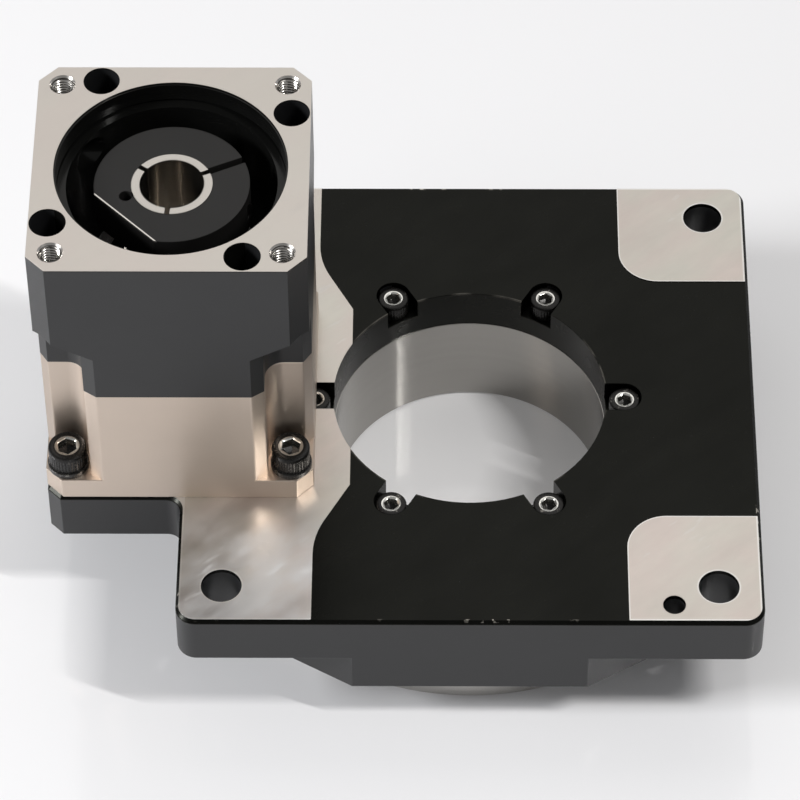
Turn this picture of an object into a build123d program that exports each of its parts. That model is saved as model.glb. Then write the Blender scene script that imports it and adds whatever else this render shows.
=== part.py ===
from build123d import *
import math
import os

# Hollow rotary actuator, lying on its turntable, with a planetary gearbox on its back.
# Millimetres. The origin is at the middle of the turntable's face, +Z goes up through
# the hollow bore to the motor flange, and the gearbox stands on the -X side.

# Gear train between gearbox and turntable
pinion_teeth = 16
drive_module = 1.25
gear_rim = 5.5
drive_face = 8.0
pinion_overhang = 0.6

# Planetary stage
sun_teeth = 15
planet_teeth = 15
planet_module = 1.0
planet_face = 12.2
planet_count = 3

# Tooth form
pressure_angle = 25.0
dedendum_factor = 1.25
tooth_slack = 0.10
flank_points = 3

# Fits and gaps
run_fit = 0.04
seat_fit = 0.02
seal_fit = 0.06
turn_gap = 0.5
seal_inset = 0.5
seal_lip = 1.4
seal_case = 1.6
side_gap = 0.4

# Housing
plate_thick = 14.0
plate_corner = 4.5
edge_break = 0.7
lower_body_height = 9.7
lower_flat = 52.6
lower_angle = 30.0
back_wall = 10.5
cavity_gap = 2.25
seal_wall = 4.0
seal_width = 4.0
seal_height = 3.0
pocket_gap = 1.5
boss_wall = 3.5
extension_chamfer = 3.0
extension_fillet = 3.5
mount_hole_inset = 10.0
mount_hole_d = 9.0
dowel_hole_d = 5.0
dowel_side_inset = 20.0
dowel_front_inset = 5.0

# Bright machined pads on the plate
pad_rise = 0.2
pad_corner_size = 30.0
pad_corner_radius = 9.0
pad_gearbox_margin = 8.0
pad_bend_radius = 20.0
pad_bend_inset = 19.0
pad_bend_angle = 28.5

# Hollow bore and hub ring
bore_d = 62.0
bore_relief = 0.15
hub_wall = 5.0
hub_flange_wall = 10.0
hub_flange_height = 7.5
hub_recess = 0.5
lock_ring_wall = 4.2
lock_ring_height = 3.8
lock_ring_gap = 1.0
spanner_slot_width = 3.0
spanner_slot_depth = 2.5
spanner_slot_height = 2.4
hub_screw_count = 6
hub_screw_inset = 4.4
hub_slot_width = 7.8
hub_slot_depth = 5.2
hub_screw_length = 12.0

# Crossed roller bearing
roller_d = 5.0
roller_length = 4.7
roller_count = 30
race_width = 12.0
race_wall = 2.4
race_inner_wall = 1.9
race_gap = 0.8

# Turntable and its gear
table_land_gap = 1.5
table_rim_height = 11.8
table_land_step = 2.0
table_land_height = 3.8
table_chamfer = 0.8
table_bolt_inset = 7.0
table_bolt_count = 8
table_bolt_depth = 9.0
table_dowel_d = 5.0
table_dowel_web = 5.0
table_dowel_angle = 22.5
gear_lip = 3.0
gear_screw_count = 8
gear_screw_inset = 2.4
gear_screw_length = 12.0

# Gearbox body
gearbox_side = 60.0
flange_thick = 5.8
flange_chamfer = 3.7
body_height = 34.8
spigot_d = 40.0
spigot_height = 3.0
base_screw_inset = 5.0
base_screw_length = 16.0
thread_run_out = 1.0
washer_thick = 1.3
washer_overhang = 0.35
washer_split = 0.8
pocket_side_gap = 0.6
pocket_radius = 4.2
pocket_mouth = 2.8
ring_gear_rim = 2.25
ring_gear_ledge = 1.5
ring_gear_drop = 1.8
ring_gear_height = 18.5

# Ball bearings of the gearbox, both with the same section
bearing_ring_wall = 2.55
bearing_ring_gap = 3.4
bearing_section = 2 * bearing_ring_wall + bearing_ring_gap
ball_d = 4.59
ball_count = 8

# Gearbox output
output_shaft_d = 20.0
shaft_shoulder = 2.0
output_bearing_d = output_shaft_d + 2 * bearing_section
output_bearing_width = 9.0
output_seal_d = 28.0
output_seal_height = 5.0
pinion_journal_d = 10.0
pinion_collar_d = 14.0
key_width = 3.0
key_height = 3.0
key_end_gap = 0.6
pinion_web = 1.4
pinion_head_room = 2.2
carrier_disc_height = 4.0
carrier_rim_gap = 1.0
planet_pin_d = 6.0

# Motor adapter and input
adapter_height = 41.6
adapter_chamfer = 4.1
adapter_pocket_top = 19.8
adapter_pocket_slope = 30.0
pilot_d = 50.0
pilot_depth = 5.4
pilot_chamfer = 0.4
pilot_undercut = 1.0
pilot_undercut_height = 0.6
adapter_cavity_d = 46.0
adapter_floor = 12.2
motor_thread_pcd = 70.0
motor_thread_depth = 15.0
counterbore_d = 8.0
counterbore_floor = 14.7
adapter_screw_inset = 4.2
adapter_screw_side = 16.2
adapter_screw_length = 25.0
input_journal_d = 20.0
input_bearing_d = input_journal_d + 2 * bearing_section
input_bearing_width = 9.0
input_seal_d = 30.0
input_seal_height = 3.2
input_neck_d = 14.0
input_collar_d = 24.0
input_collar_height = 3.0
input_floor = 4.0
motor_shaft_d = 14.0
collet_wall = 1.9
collet_slot = 1.0
collet_depth = 22.0
collet_drop = 5.2
clamp_angle = 25.0
clamp_wall = 8.1
clamp_height = 10.0
clamp_slit = 1.6
clamp_flat_cut = 2.9
clamp_flat_angle = 225.0
balance_hole_d = 2.8
balance_hole_angle = 200.0
balance_hole_gap = 0.2
clamp_screw_length = 14.0
clamp_screw_inset = 0.55
access_hole_d = 8.0
plug_length = 5.0

# Socket head screws: a head is 1.5 threads and a little wide, and one thread high
small_screw_d = 3.0
screw_d = 4.0
large_screw_d = 5.0
screw_head_extra = 1.0
hexagon_share = 0.78
thread_hole_shrink = 0.8
clearance_extra = 0.4
pinion_screw_head = 2.0
pinion_screw_length = 7.5
circlip_band = 2.0
circlip_opening = 6.0

# Heights that follow from the sizes
body_bottom = table_rim_height + turn_gap
plate_bottom = body_bottom + lower_body_height
plate_top = plate_bottom + plate_thick
cavity_top = plate_top - back_wall
race_top = cavity_top - hub_flange_height
race_bottom = race_top - race_width
race_middle = race_bottom + race_width / 2
table_top = table_rim_height + table_land_height
gear_bottom = table_top + side_gap
gear_top = gear_bottom + drive_face
seal_bottom = body_bottom + 0.2
seal_top = seal_bottom + seal_height
body_top = plate_top + body_height
flange_top = plate_top + flange_thick
adapter_top = body_top + adapter_height

# Radii and places that follow from the sizes, from the hollow bore outwards
bore_r = bore_d / 2
sleeve_r = bore_r + hub_wall
hub_screw_r = bore_r + hub_screw_inset
lock_ring_r = sleeve_r + lock_ring_wall
table_pilot_r = lock_ring_r + lock_ring_gap
race_half = (roller_d / 2 + run_fit) * math.sqrt(2)
race_center_r = sleeve_r + race_inner_wall + race_half
race_outer_r = race_center_r + race_half + race_wall
table_teeth = math.ceil(2 * ((race_outer_r + gear_rim) / drive_module + dedendum_factor))
table_pitch_r = table_teeth * drive_module / 2
pinion_pitch_r = pinion_teeth * drive_module / 2
gearbox_x = -(table_pitch_r + pinion_pitch_r)
table_tip_r = table_pitch_r + drive_module
table_root_r = table_pitch_r - dedendum_factor * drive_module
pinion_tip_r = pinion_pitch_r + drive_module
pinion_root_r = pinion_pitch_r - dedendum_factor * drive_module
cavity_r = table_tip_r + cavity_gap
table_land_r = cavity_r - table_land_gap
table_r = table_land_r + table_land_step
table_bolt_r = table_r - table_bolt_inset
gear_screw_r = race_outer_r + gear_screw_inset
seal_r = table_land_r + seal_width
plate_side = 2 * (seal_r + seal_wall)
mount_hole_at = plate_side / 2 - mount_hole_inset
pocket_r = pinion_tip_r + pocket_gap
ring_teeth = sun_teeth + 2 * planet_teeth
planet_orbit_r = (sun_teeth + planet_teeth) * planet_module / 2
ring_pitch_r = ring_teeth * planet_module / 2
ring_root_r = ring_pitch_r + dedendum_factor * planet_module
ring_tip_r = ring_pitch_r - planet_module
ring_gear_r = ring_root_r + ring_gear_rim
carrier_r = ring_tip_r - carrier_rim_gap
half_side = gearbox_side / 2
base_screw_at = half_side - base_screw_inset
large_head_r = (1.5 * large_screw_d + screw_head_extra) / 2
head_r = (1.5 * screw_d + screw_head_extra) / 2
small_head_r = (1.5 * small_screw_d + screw_head_extra) / 2
washer_r = large_head_r + washer_overhang
pocket_wall_at = base_screw_at - washer_r - pocket_side_gap
collet_r = motor_shaft_d / 2 + collet_wall
clamp_r = collet_r + clamp_wall
clamp_screw_r = clamp_r - head_r - clamp_screw_inset
motor_thread_at = motor_thread_pcd / 2 / math.sqrt(2)

# Heights inside the gearbox
output_seal_bottom = plate_top - spigot_height + seal_inset
output_bearing_bottom = output_seal_bottom + output_seal_height + seal_inset
output_bearing_top = output_bearing_bottom + output_bearing_width
carrier_bottom = output_bearing_top + 0.6
carrier_top = carrier_bottom + carrier_disc_height
planet_bottom = carrier_top + side_gap
planet_top = planet_bottom + planet_face
cover_bottom = planet_top + side_gap
cover_top = cover_bottom + carrier_disc_height - 1.0
ring_gear_top = body_top - ring_gear_drop
ring_gear_bottom = ring_gear_top - ring_gear_height
adapter_floor_top = body_top + adapter_floor
input_seal_bottom = ring_gear_top
input_bearing_bottom = input_seal_bottom + input_seal_height
input_bearing_top = input_bearing_bottom + input_bearing_width
collet_top = adapter_top - collet_drop
pinion_bottom = gear_bottom - 0.1
pinion_top = gear_top + pinion_overhang
pinion_screw_seat = pinion_bottom + pinion_head_room
pinion_seat = pinion_screw_seat + pinion_web

BASE = (Align.CENTER, Align.CENTER, Align.MIN)


def disc(radius, low, high, x=0.0, y=0.0):
    """Solid cylinder standing between two heights."""
    return Pos(x, y, low) * Cylinder(radius, high - low, align=BASE)


def ring(outer, inner, low, high):
    """Plain ring about the Z axis between two heights."""
    return disc(outer, low, high) - disc(inner, low, high)


def turned(points):
    """Solid turned about the Z axis from (radius, height) points."""
    section = make_face(Polyline(*points, close=True))
    return revolve(Plane.XZ * section, Axis.Z)


def prism(sketch, low, high):
    """Sketch drawn on the ground, raised between two heights."""
    return extrude(Pos(0, 0, low) * sketch, high - low)


def polar(radius, degrees):
    """Plan point at a radius and an angle."""
    angle = math.radians(degrees)
    return radius * math.cos(angle), radius * math.sin(angle)


def square_corners(half):
    """Plan points at the four corners of a square."""
    return [(half, half), (-half, half), (-half, -half), (half, -half)]


def circle_angles(count, first=0.0):
    """Angles of a regular circle of items."""
    return [first + 360.0 * i / count for i in range(count)]


def at_gearbox(shape):
    """Shape drawn about its own axis, moved to the gearbox axis."""
    return Pos(gearbox_x, 0, 0) * shape


def cap_screw(thread, head, length, seat, x=0.0, y=0.0):
    """Socket head screw of a thread diameter and head radius, its head on a seat height."""
    top = seat + thread
    screw = disc(head, seat, top)
    screw = chamfer(screw.edges().sort_by(Axis.Z)[-1], 0.1 * head)
    screw += disc(thread / 2, seat - length, seat)
    screw -= prism(hexagon(thread), top - thread / 2, top)
    return Pos(x, y, 0) * screw


def hexagon(thread):
    """Outline of the socket in the head of a screw."""
    return RegularPolygon(hexagon_share * thread / 2, 6, major_radius=False)


def thread_hole(thread, low, high, x=0.0, y=0.0):
    """Tapped hole left empty for a stranger's screw."""
    return disc((thread - thread_hole_shrink) / 2, low, high, x, y)


def involute(angle):
    """Involute function of an angle in radians."""
    return math.tan(angle) - angle


def gear_outline(teeth, module, tip_r, root_r, slack, first=0.0):
    """Gear outline in straight chords, with its first tooth centred on an angle."""
    pitch_r = teeth * module / 2
    pressure = math.radians(pressure_angle)
    base_r = pitch_r * math.cos(pressure)
    half_tooth = (math.pi * module / 2 - slack) / (2 * pitch_r)
    start_r = max(root_r, base_r)
    flank = []
    for i in range(flank_points):
        radius = start_r + (tip_r - start_r) * i / (flank_points - 1)
        spread = half_tooth + involute(pressure) - involute(math.acos(base_r / radius))
        flank.append((radius, spread))
    if root_r < base_r:
        flank.insert(0, (root_r, flank[0][1]))
    points = []
    for tooth in range(teeth):
        middle = math.radians(first) + 2 * math.pi * tooth / teeth
        rising = [(radius, middle - spread) for radius, spread in flank]
        falling = [(radius, middle + spread) for radius, spread in reversed(flank)]
        for radius, angle in rising + falling:
            points.append((radius * math.cos(angle), radius * math.sin(angle)))
    return make_face(Polyline(*points, close=True))


def ball_ring(radius, ball_r, height, count):
    """Balls of a bearing, evenly spaced at one height."""
    balls = []
    for angle in circle_angles(count):
        x, y = polar(radius, angle)
        balls.append(Pos(x, y, height) * Sphere(ball_r))
    return balls


def bearing(inner_r, low, width):
    """Outer ring, inner ring and balls of a deep groove ball bearing."""
    outer_r = inner_r + bearing_section
    middle_r = (inner_r + outer_r) / 2
    height = low + width / 2
    groove = Pos(0, 0, height) * Torus(middle_r, ball_d / 2 + run_fit)
    outer = ring(outer_r, outer_r - bearing_ring_wall, low, low + width) - groove
    inner = ring(inner_r + bearing_ring_wall, inner_r, low, low + width) - groove
    return outer, inner, ball_ring(middle_r, ball_d / 2, height, ball_count)


def plate_outline():
    """Plan of the square plate with the gearbox extension on its left."""
    plate = RectangleRounded(plate_side, plate_side, plate_corner)
    outer_x = gearbox_x - half_side
    cut = extension_chamfer
    extension = make_face(Polyline(
        (0, half_side),
        (outer_x + cut, half_side),
        (outer_x, half_side - cut),
        (outer_x, cut - half_side),
        (outer_x + cut, -half_side),
        (0, -half_side),
        close=True,
    ))
    outline = plate + extension
    inner = []
    for vertex in outline.vertices():
        on_side = abs(vertex.X + plate_side / 2) < 0.01
        if on_side and abs(abs(vertex.Y) - half_side) < 0.01:
            inner.append(vertex)
    return fillet(inner, extension_fillet)


def lower_outline():
    """Plan of the lower body: four flats and slanted faces that meet on the diagonals."""
    flat = lower_flat / 2
    reach = plate_side / 2
    slope = math.radians(lower_angle)
    run = (reach - flat) / (math.cos(slope) + math.sin(slope))
    corner = flat + run * math.cos(slope)
    points = []
    for quarter in range(4):
        turn = math.radians(90 * quarter)
        for x, y in ((reach, -flat), (reach, flat), (corner, corner)):
            points.append((
                x * math.cos(turn) - y * math.sin(turn),
                x * math.sin(turn) + y * math.cos(turn),
            ))
    return make_face(Polyline(*points, close=True))


def corner_pad(side):
    """Pad at a right hand corner of the plate, with its inner corner rounded."""
    size = pad_corner_size
    middle = plate_side / 2 - size / 2
    square = Pos(middle, side * middle) * Rectangle(size, size)
    inner = square.vertices().sort_by_distance((0, 0, 0))[0]
    return fillet(inner, pad_corner_radius)


def gearbox_pad():
    """Pad under the gearbox, which widens towards the bore in two bent edges."""
    reach = plate_side / 2
    far_x = gearbox_x - half_side
    knee_x = gearbox_x + half_side + pad_gearbox_margin
    side_x = pad_corner_size - reach
    start_y = reach - pad_bend_inset
    bend = math.radians(pad_bend_angle)
    bend_x = side_x + pad_bend_radius * (1 - math.cos(bend))
    bend_y = start_y - pad_bend_radius * math.sin(bend)
    knee_y = bend_y - (knee_x - bend_x) / math.tan(bend)
    middle_x = side_x + pad_bend_radius * (1 - math.cos(bend / 2))
    middle_y = start_y - pad_bend_radius * math.sin(bend / 2)
    edges = Curve() + [
        Line((knee_x, -knee_y), (knee_x, knee_y)),
        Line((knee_x, knee_y), (bend_x, bend_y)),
        ThreePointArc((bend_x, bend_y), (middle_x, middle_y), (side_x, start_y)),
        Polyline(
            (side_x, start_y),
            (side_x, reach),
            (far_x, reach),
            (far_x, -reach),
            (side_x, -reach),
            (side_x, -start_y),
        ),
        ThreePointArc((side_x, -start_y), (middle_x, -middle_y), (bend_x, -bend_y)),
        Line((bend_x, -bend_y), (knee_x, -knee_y)),
    ]
    return make_face(edges)


def make_housing():
    """Plate, lower body and pinion boss, with the cavity for table and gears."""
    outline = plate_outline()
    skin = plate_top - pad_rise
    plate = prism(outline, plate_bottom, skin)
    rims = plate.edges().filter_by(Plane.XY)
    housing = chamfer(rims, edge_break)
    housing += prism(lower_outline(), body_bottom, plate_bottom + edge_break)
    housing += at_gearbox(disc(pocket_r + boss_wall, body_bottom, plate_bottom + 1))
    pads = gearbox_pad() + corner_pad(1) + corner_pad(-1)
    pads = pads & offset(outline, -edge_break)
    housing += prism(pads, skin - 1, plate_top)

    housing -= disc(seal_r, body_bottom, seal_top)
    housing -= disc(cavity_r, body_bottom, cavity_top)
    housing -= disc(bore_r + bore_relief, cavity_top, plate_top)
    housing -= at_gearbox(disc(pocket_r, seal_top, plate_top))
    housing -= at_gearbox(disc(spigot_d / 2 + seat_fit, plate_top - spigot_height, plate_top))

    seat = plate_top - hub_slot_depth
    for angle in circle_angles(hub_screw_count):
        slot = Pos(hub_screw_r / 2, 0) * Rectangle(hub_screw_r, hub_slot_width)
        slot += Pos(hub_screw_r, 0) * Circle(hub_slot_width / 2)
        housing -= Rot(0, 0, angle) * prism(slot, seat, plate_top)
        x, y = polar(hub_screw_r, angle)
        housing -= disc((screw_d + clearance_extra) / 2, cavity_top, seat, x, y)

    for x, y in square_corners(mount_hole_at):
        housing -= disc(mount_hole_d / 2, plate_bottom, plate_top, x, y)
    x = plate_side / 2 - dowel_side_inset
    y = dowel_front_inset - plate_side / 2
    housing -= disc(dowel_hole_d / 2, plate_bottom, plate_top, x, y)
    low = flange_top + washer_thick - base_screw_length - thread_run_out
    for x, y in square_corners(base_screw_at):
        housing -= at_gearbox(disc(large_screw_d / 2 + seat_fit, low, plate_top, x, y))
    return housing


def make_hub_ring():
    """Fixed sleeve of the hollow bore, with the flange that the hub screws hold."""
    hub = ring(sleeve_r, bore_r, hub_recess, race_top)
    hub += ring(bore_r + hub_flange_wall, bore_r, race_top, cavity_top)
    low = plate_top - hub_slot_depth - hub_screw_length
    for angle in circle_angles(hub_screw_count):
        x, y = polar(hub_screw_r, angle)
        hub -= disc(screw_d / 2 + seat_fit, low, cavity_top, x, y)
    return hub


def make_hub_screws():
    """Socket screws that hold the hub ring from the back of the plate."""
    seat = plate_top - hub_slot_depth
    places = [polar(hub_screw_r, angle) for angle in circle_angles(hub_screw_count)]
    return [cap_screw(screw_d, head_r, hub_screw_length, seat, x, y) for x, y in places]


def make_lock_ring():
    """Ring nut on the sleeve, with four spanner slots, that clamps the inner race."""
    top = race_bottom
    low = top - lock_ring_height
    nut = ring(lock_ring_r, sleeve_r, low, top)
    slot = Box(2 * spanner_slot_depth, spanner_slot_width, spanner_slot_height, align=BASE)
    for angle in circle_angles(4, 45):
        x, y = polar(lock_ring_r, angle)
        nut -= Pos(x, y, low) * Rot(0, 0, angle) * slot
    return nut


def make_inner_race():
    """Inner ring of the crossed roller bearing, with its outward V groove."""
    face = race_center_r - race_gap / 2
    bite = face - (race_center_r - race_half)
    return turned([
        (sleeve_r, race_bottom),
        (face, race_bottom),
        (face, race_middle - bite),
        (race_center_r - race_half, race_middle),
        (face, race_middle + bite),
        (face, race_top),
        (sleeve_r, race_top),
    ])


def make_outer_races():
    """Lower and upper half of the outer ring, each with half of the inward V groove."""
    face = race_center_r + race_gap / 2
    bite = race_center_r + race_half - face
    halves = []
    for end, side in ((race_bottom, -1), (race_top, 1)):
        halves.append(turned([
            (race_outer_r, end),
            (race_outer_r, race_middle),
            (race_center_r + race_half, race_middle),
            (face, race_middle + side * bite),
            (face, end),
        ]))
    return halves


def make_rollers():
    """Rollers whose axes lean alternately inwards and outwards by 45 degrees."""
    rollers = []
    for i, angle in enumerate(circle_angles(roller_count)):
        lean = 45 if i % 2 == 0 else 135
        roller = Cylinder(roller_d / 2, roller_length)
        place = Rot(0, 0, angle) * Pos(race_center_r, 0, race_middle) * Rot(0, lean, 0)
        rollers.append(place * roller)
    return rollers


def make_table_seal():
    """Rubber ring between the housing and the turntable's land."""
    inner = table_land_r + seal_fit
    return turned([
        (seal_r, seal_bottom),
        (seal_r, seal_top),
        (inner + seal_case, seal_top),
        (inner + seal_case, seal_bottom + seal_lip),
        (inner, seal_bottom + seal_lip),
        (inner, seal_bottom),
    ])


def make_turntable():
    """Turning disc with its load threads, and the pocket that holds the outer ring."""
    table = turned([
        (table_pilot_r, 0),
        (table_r - table_chamfer, 0),
        (table_r, table_chamfer),
        (table_r, table_rim_height),
        (table_land_r, table_rim_height),
        (table_land_r, table_top),
        (race_outer_r, table_top),
        (race_outer_r, race_bottom),
        (table_pilot_r, race_bottom),
    ])
    for angle in circle_angles(table_bolt_count):
        x, y = polar(table_bolt_r, angle)
        table -= thread_hole(large_screw_d, 0, table_bolt_depth, x, y)
    for angle in (table_dowel_angle, table_dowel_angle + 180):
        x, y = polar(table_bolt_r, angle)
        table -= disc(table_dowel_d / 2, 0, table_rim_height - table_dowel_web, x, y)
    low = gear_screw_seat() - gear_screw_length - thread_run_out
    for angle in gear_screw_angles():
        x, y = polar(gear_screw_r, angle)
        table -= disc(small_screw_d / 2 + seat_fit, low, table_top, x, y)
    return table


def gear_screw_seat():
    """Height of the seats of the screws in the table gear."""
    return gear_top - small_screw_d - seal_fit


def gear_screw_angles():
    """Angles of the screws in the table gear, midway between load threads and dowels."""
    return circle_angles(gear_screw_count, 180 / table_bolt_count / 2)


def make_table_gear():
    """Gear ring on the turntable, with a lip over the bearing's outer ring."""
    teeth = gear_outline(table_teeth, drive_module, table_tip_r, table_root_r, tooth_slack, 180)
    gear = prism(teeth, gear_bottom, gear_top)
    gear += disc(table_root_r - turn_gap, table_top, gear_bottom)
    gear -= disc(race_outer_r, table_top, race_top)
    gear -= disc(race_outer_r - gear_lip, race_top, gear_top)
    seat = gear_screw_seat()
    for angle in gear_screw_angles():
        x, y = polar(gear_screw_r, angle)
        gear -= disc((small_screw_d + clearance_extra) / 2, table_top, seat, x, y)
        gear -= disc(small_head_r + seal_fit, seat, gear_top, x, y)
    return gear


def make_gear_screws():
    """Screws that hold the table gear to the turntable."""
    screws = []
    for angle in gear_screw_angles():
        x, y = polar(gear_screw_r, angle)
        screws.append(cap_screw(small_screw_d, small_head_r, gear_screw_length, gear_screw_seat(), x, y))
    return screws


def pocket_outline(inset=0.0):
    """Plan of one corner pocket: two walls, a round inner corner and bevelled mouths."""
    wall = pocket_wall_at + inset
    far = half_side + 1
    mouth = half_side - 0.66 * pocket_mouth
    points = [
        (wall - pocket_mouth - 1.5, far),
        (wall, mouth),
        (wall, wall),
        (mouth, wall),
        (far, wall - pocket_mouth - 1.5),
        (far, far),
    ]
    plan = make_face(Polyline(*points, close=True))
    inner = plan.vertices().sort_by_distance((wall, wall, 0))[0]
    return fillet(inner, pocket_radius)


def bevelled_square(side, cut):
    """Square with its corners cut off."""
    square = Rectangle(side, side)
    return chamfer(square.vertices(), cut)


def make_gearbox_body():
    """Nickel finish body: base flange, corner pockets, and bores for the stage."""
    body = prism(bevelled_square(gearbox_side, flange_chamfer), plate_top, body_top)
    for angle in circle_angles(4):
        body -= Rot(0, 0, angle) * prism(pocket_outline(), flange_top, body_top)
    body += disc(spigot_d / 2, plate_top - spigot_height, plate_top)
    body -= disc(output_seal_d / 2, plate_top - spigot_height, output_bearing_bottom)
    body -= disc(output_bearing_d / 2, output_bearing_bottom, output_bearing_top)
    body -= disc(ring_root_r - ring_gear_ledge, output_bearing_top, ring_gear_bottom)
    body -= disc(ring_gear_r, ring_gear_bottom, body_top)
    for x, y in square_corners(base_screw_at):
        body -= disc((large_screw_d + clearance_extra) / 2, plate_top, flange_top, x, y)
    low = body_top + counterbore_floor - adapter_screw_length - thread_run_out
    for x, y in adapter_screw_places():
        body -= disc(screw_d / 2 + seat_fit, low, body_top, x, y)
    return at_gearbox(body)


def adapter_screw_places():
    """Plan points of the adapter screws, a pinwheel round the pilot."""
    near = adapter_screw_side
    far = half_side - adapter_screw_inset
    return [(far, near), (-near, far), (-far, -near), (near, -far)]


def make_gearbox_screws():
    """Screws in the corner pockets, through the base flange into the plate."""
    seat = flange_top + washer_thick
    screw = cap_screw(large_screw_d, large_head_r, base_screw_length, seat)
    return [at_gearbox(Pos(x, y, 0) * screw) for x, y in square_corners(base_screw_at)]


def make_gearbox_washers():
    """Split spring washers under the base flange screws."""
    washers = []
    for x, y in square_corners(base_screw_at):
        washer = ring(washer_r, large_screw_d / 2 + seat_fit, flange_top, flange_top + washer_thick)
        split = Box(washer_split, 2 * washer_r, washer_thick, align=BASE)
        washer -= Pos(0, washer_r, flange_top) * split
        washers.append(at_gearbox(Pos(x, y, 0) * washer))
    return washers


def make_ring_gear():
    """Fixed ring with internal teeth, a tooth space facing each planet."""
    spaces = gear_outline(ring_teeth, planet_module, ring_root_r, ring_tip_r, -tooth_slack, 90)
    gear = ring(ring_gear_r, ring_tip_r, ring_gear_bottom, ring_gear_top)
    gear -= prism(spaces, ring_gear_bottom, ring_gear_top)
    return at_gearbox(gear)


def make_output_seal():
    """Lip seal between the gearbox body and the output shaft."""
    shaft = output_shaft_d / 2 + seal_fit
    low = output_seal_bottom
    high = output_seal_bottom + output_seal_height
    return at_gearbox(turned([
        (output_seal_d / 2, low),
        (output_seal_d / 2, high),
        (output_seal_d / 2 - seal_case, high),
        (output_seal_d / 2 - seal_case, low + seal_lip),
        (shaft, low + seal_lip),
        (shaft, low),
    ]))


def make_carrier():
    """Planet carrier disc with the output shaft below it."""
    shaft_low = output_seal_bottom
    carrier = disc(carrier_r, carrier_bottom, carrier_top)
    carrier += disc(output_shaft_d / 2 + shaft_shoulder, output_bearing_top, carrier_bottom)
    carrier += disc(output_shaft_d / 2, shaft_low, output_bearing_top)
    carrier += disc(pinion_collar_d / 2, pinion_top, shaft_low)
    carrier += disc(pinion_journal_d / 2, pinion_seat, pinion_top)
    carrier -= key_box(seat_fit)
    high = pinion_screw_seat + pinion_screw_length + turn_gap
    carrier -= disc(screw_d / 2 + seat_fit, pinion_seat, high)
    for x, y in planet_places():
        carrier -= disc(planet_pin_d / 2, carrier_bottom, carrier_top, x, y)
    return at_gearbox(carrier)


def key_box(room):
    """Parallel key between pinion and shaft, with room around it for its slots."""
    low = pinion_seat + key_end_gap
    width = key_width + 2 * room
    reach = pinion_journal_d / 2 + key_height / 2 + room
    key = Box(reach, width, pinion_top - low, align=(Align.MIN, Align.CENTER, Align.MIN))
    return Pos(0, 0, low) * key


def make_pinion_key():
    """Key pressed in the shaft's slot."""
    hidden = pinion_journal_d / 2 - key_height / 2
    key = key_box(0) - disc(hidden, pinion_seat, pinion_top)
    return at_gearbox(key)


def make_pinion():
    """Pinion with a space between teeth facing the table gear."""
    half_pitch = 180 / pinion_teeth
    teeth = gear_outline(pinion_teeth, drive_module, pinion_tip_r, pinion_root_r, tooth_slack, half_pitch)
    pinion = prism(teeth, pinion_bottom, pinion_top)
    pinion -= disc(pinion_journal_d / 2 + seat_fit, pinion_seat, pinion_top)
    pinion -= key_box(seat_fit)
    pinion -= disc(head_r + clearance_extra / 2, pinion_bottom, pinion_screw_seat)
    pinion -= disc((screw_d + clearance_extra) / 2, pinion_bottom, pinion_seat)
    return at_gearbox(pinion)


def make_pinion_screw():
    """Low head screw in the pinion's end, head down."""
    seat = pinion_screw_seat
    low = seat - pinion_screw_head
    screw = disc(head_r, low, seat) + disc(screw_d / 2, seat, seat + pinion_screw_length)
    screw -= prism(hexagon(screw_d), low, low + pinion_screw_head / 2)
    return at_gearbox(screw)


def planet_places():
    """Plan points of the planets round the gearbox axis."""
    return [polar(planet_orbit_r, angle) for angle in circle_angles(planet_count, 90)]


def make_carrier_cover():
    """Plate over the planets, held by the planet pins."""
    cover = ring(carrier_r, input_neck_d / 2 + 1.4, cover_bottom, cover_top)
    for x, y in planet_places():
        cover -= disc(planet_pin_d / 2, cover_bottom, cover_top, x, y)
    return at_gearbox(cover)


def make_planet_pins():
    """Pins pressed in the carrier and its cover."""
    pin = disc(planet_pin_d / 2, carrier_bottom, cover_top)
    return [at_gearbox(Pos(x, y, 0) * pin) for x, y in planet_places()]


def make_planet(index):
    """One planet gear, a tooth of it facing outwards into the ring gear."""
    angle = circle_angles(planet_count, 90)[index]
    tip_r = (planet_teeth / 2 + 1) * planet_module
    root_r = (planet_teeth / 2 - dedendum_factor) * planet_module
    teeth = gear_outline(planet_teeth, planet_module, tip_r, root_r, tooth_slack, angle)
    gear = prism(teeth, planet_bottom, planet_top)
    gear -= disc(planet_pin_d / 2 + run_fit, planet_bottom, planet_top)
    x, y = polar(planet_orbit_r, angle)
    return at_gearbox(Pos(x, y, 0) * gear)


def sun_bore_r():
    """Radius of the input shaft's stub in the sun gear."""
    return (sun_teeth / 2 - dedendum_factor) * planet_module * 0.62


def make_sun_gear():
    """Sun gear pressed on the end of the input shaft."""
    tip_r = (sun_teeth / 2 + 1) * planet_module
    root_r = (sun_teeth / 2 - dedendum_factor) * planet_module
    teeth = gear_outline(sun_teeth, planet_module, tip_r, root_r, tooth_slack, 90)
    gear = prism(teeth, planet_bottom, planet_top)
    gear -= disc(sun_bore_r(), planet_bottom, planet_top)
    return at_gearbox(gear)


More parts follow.
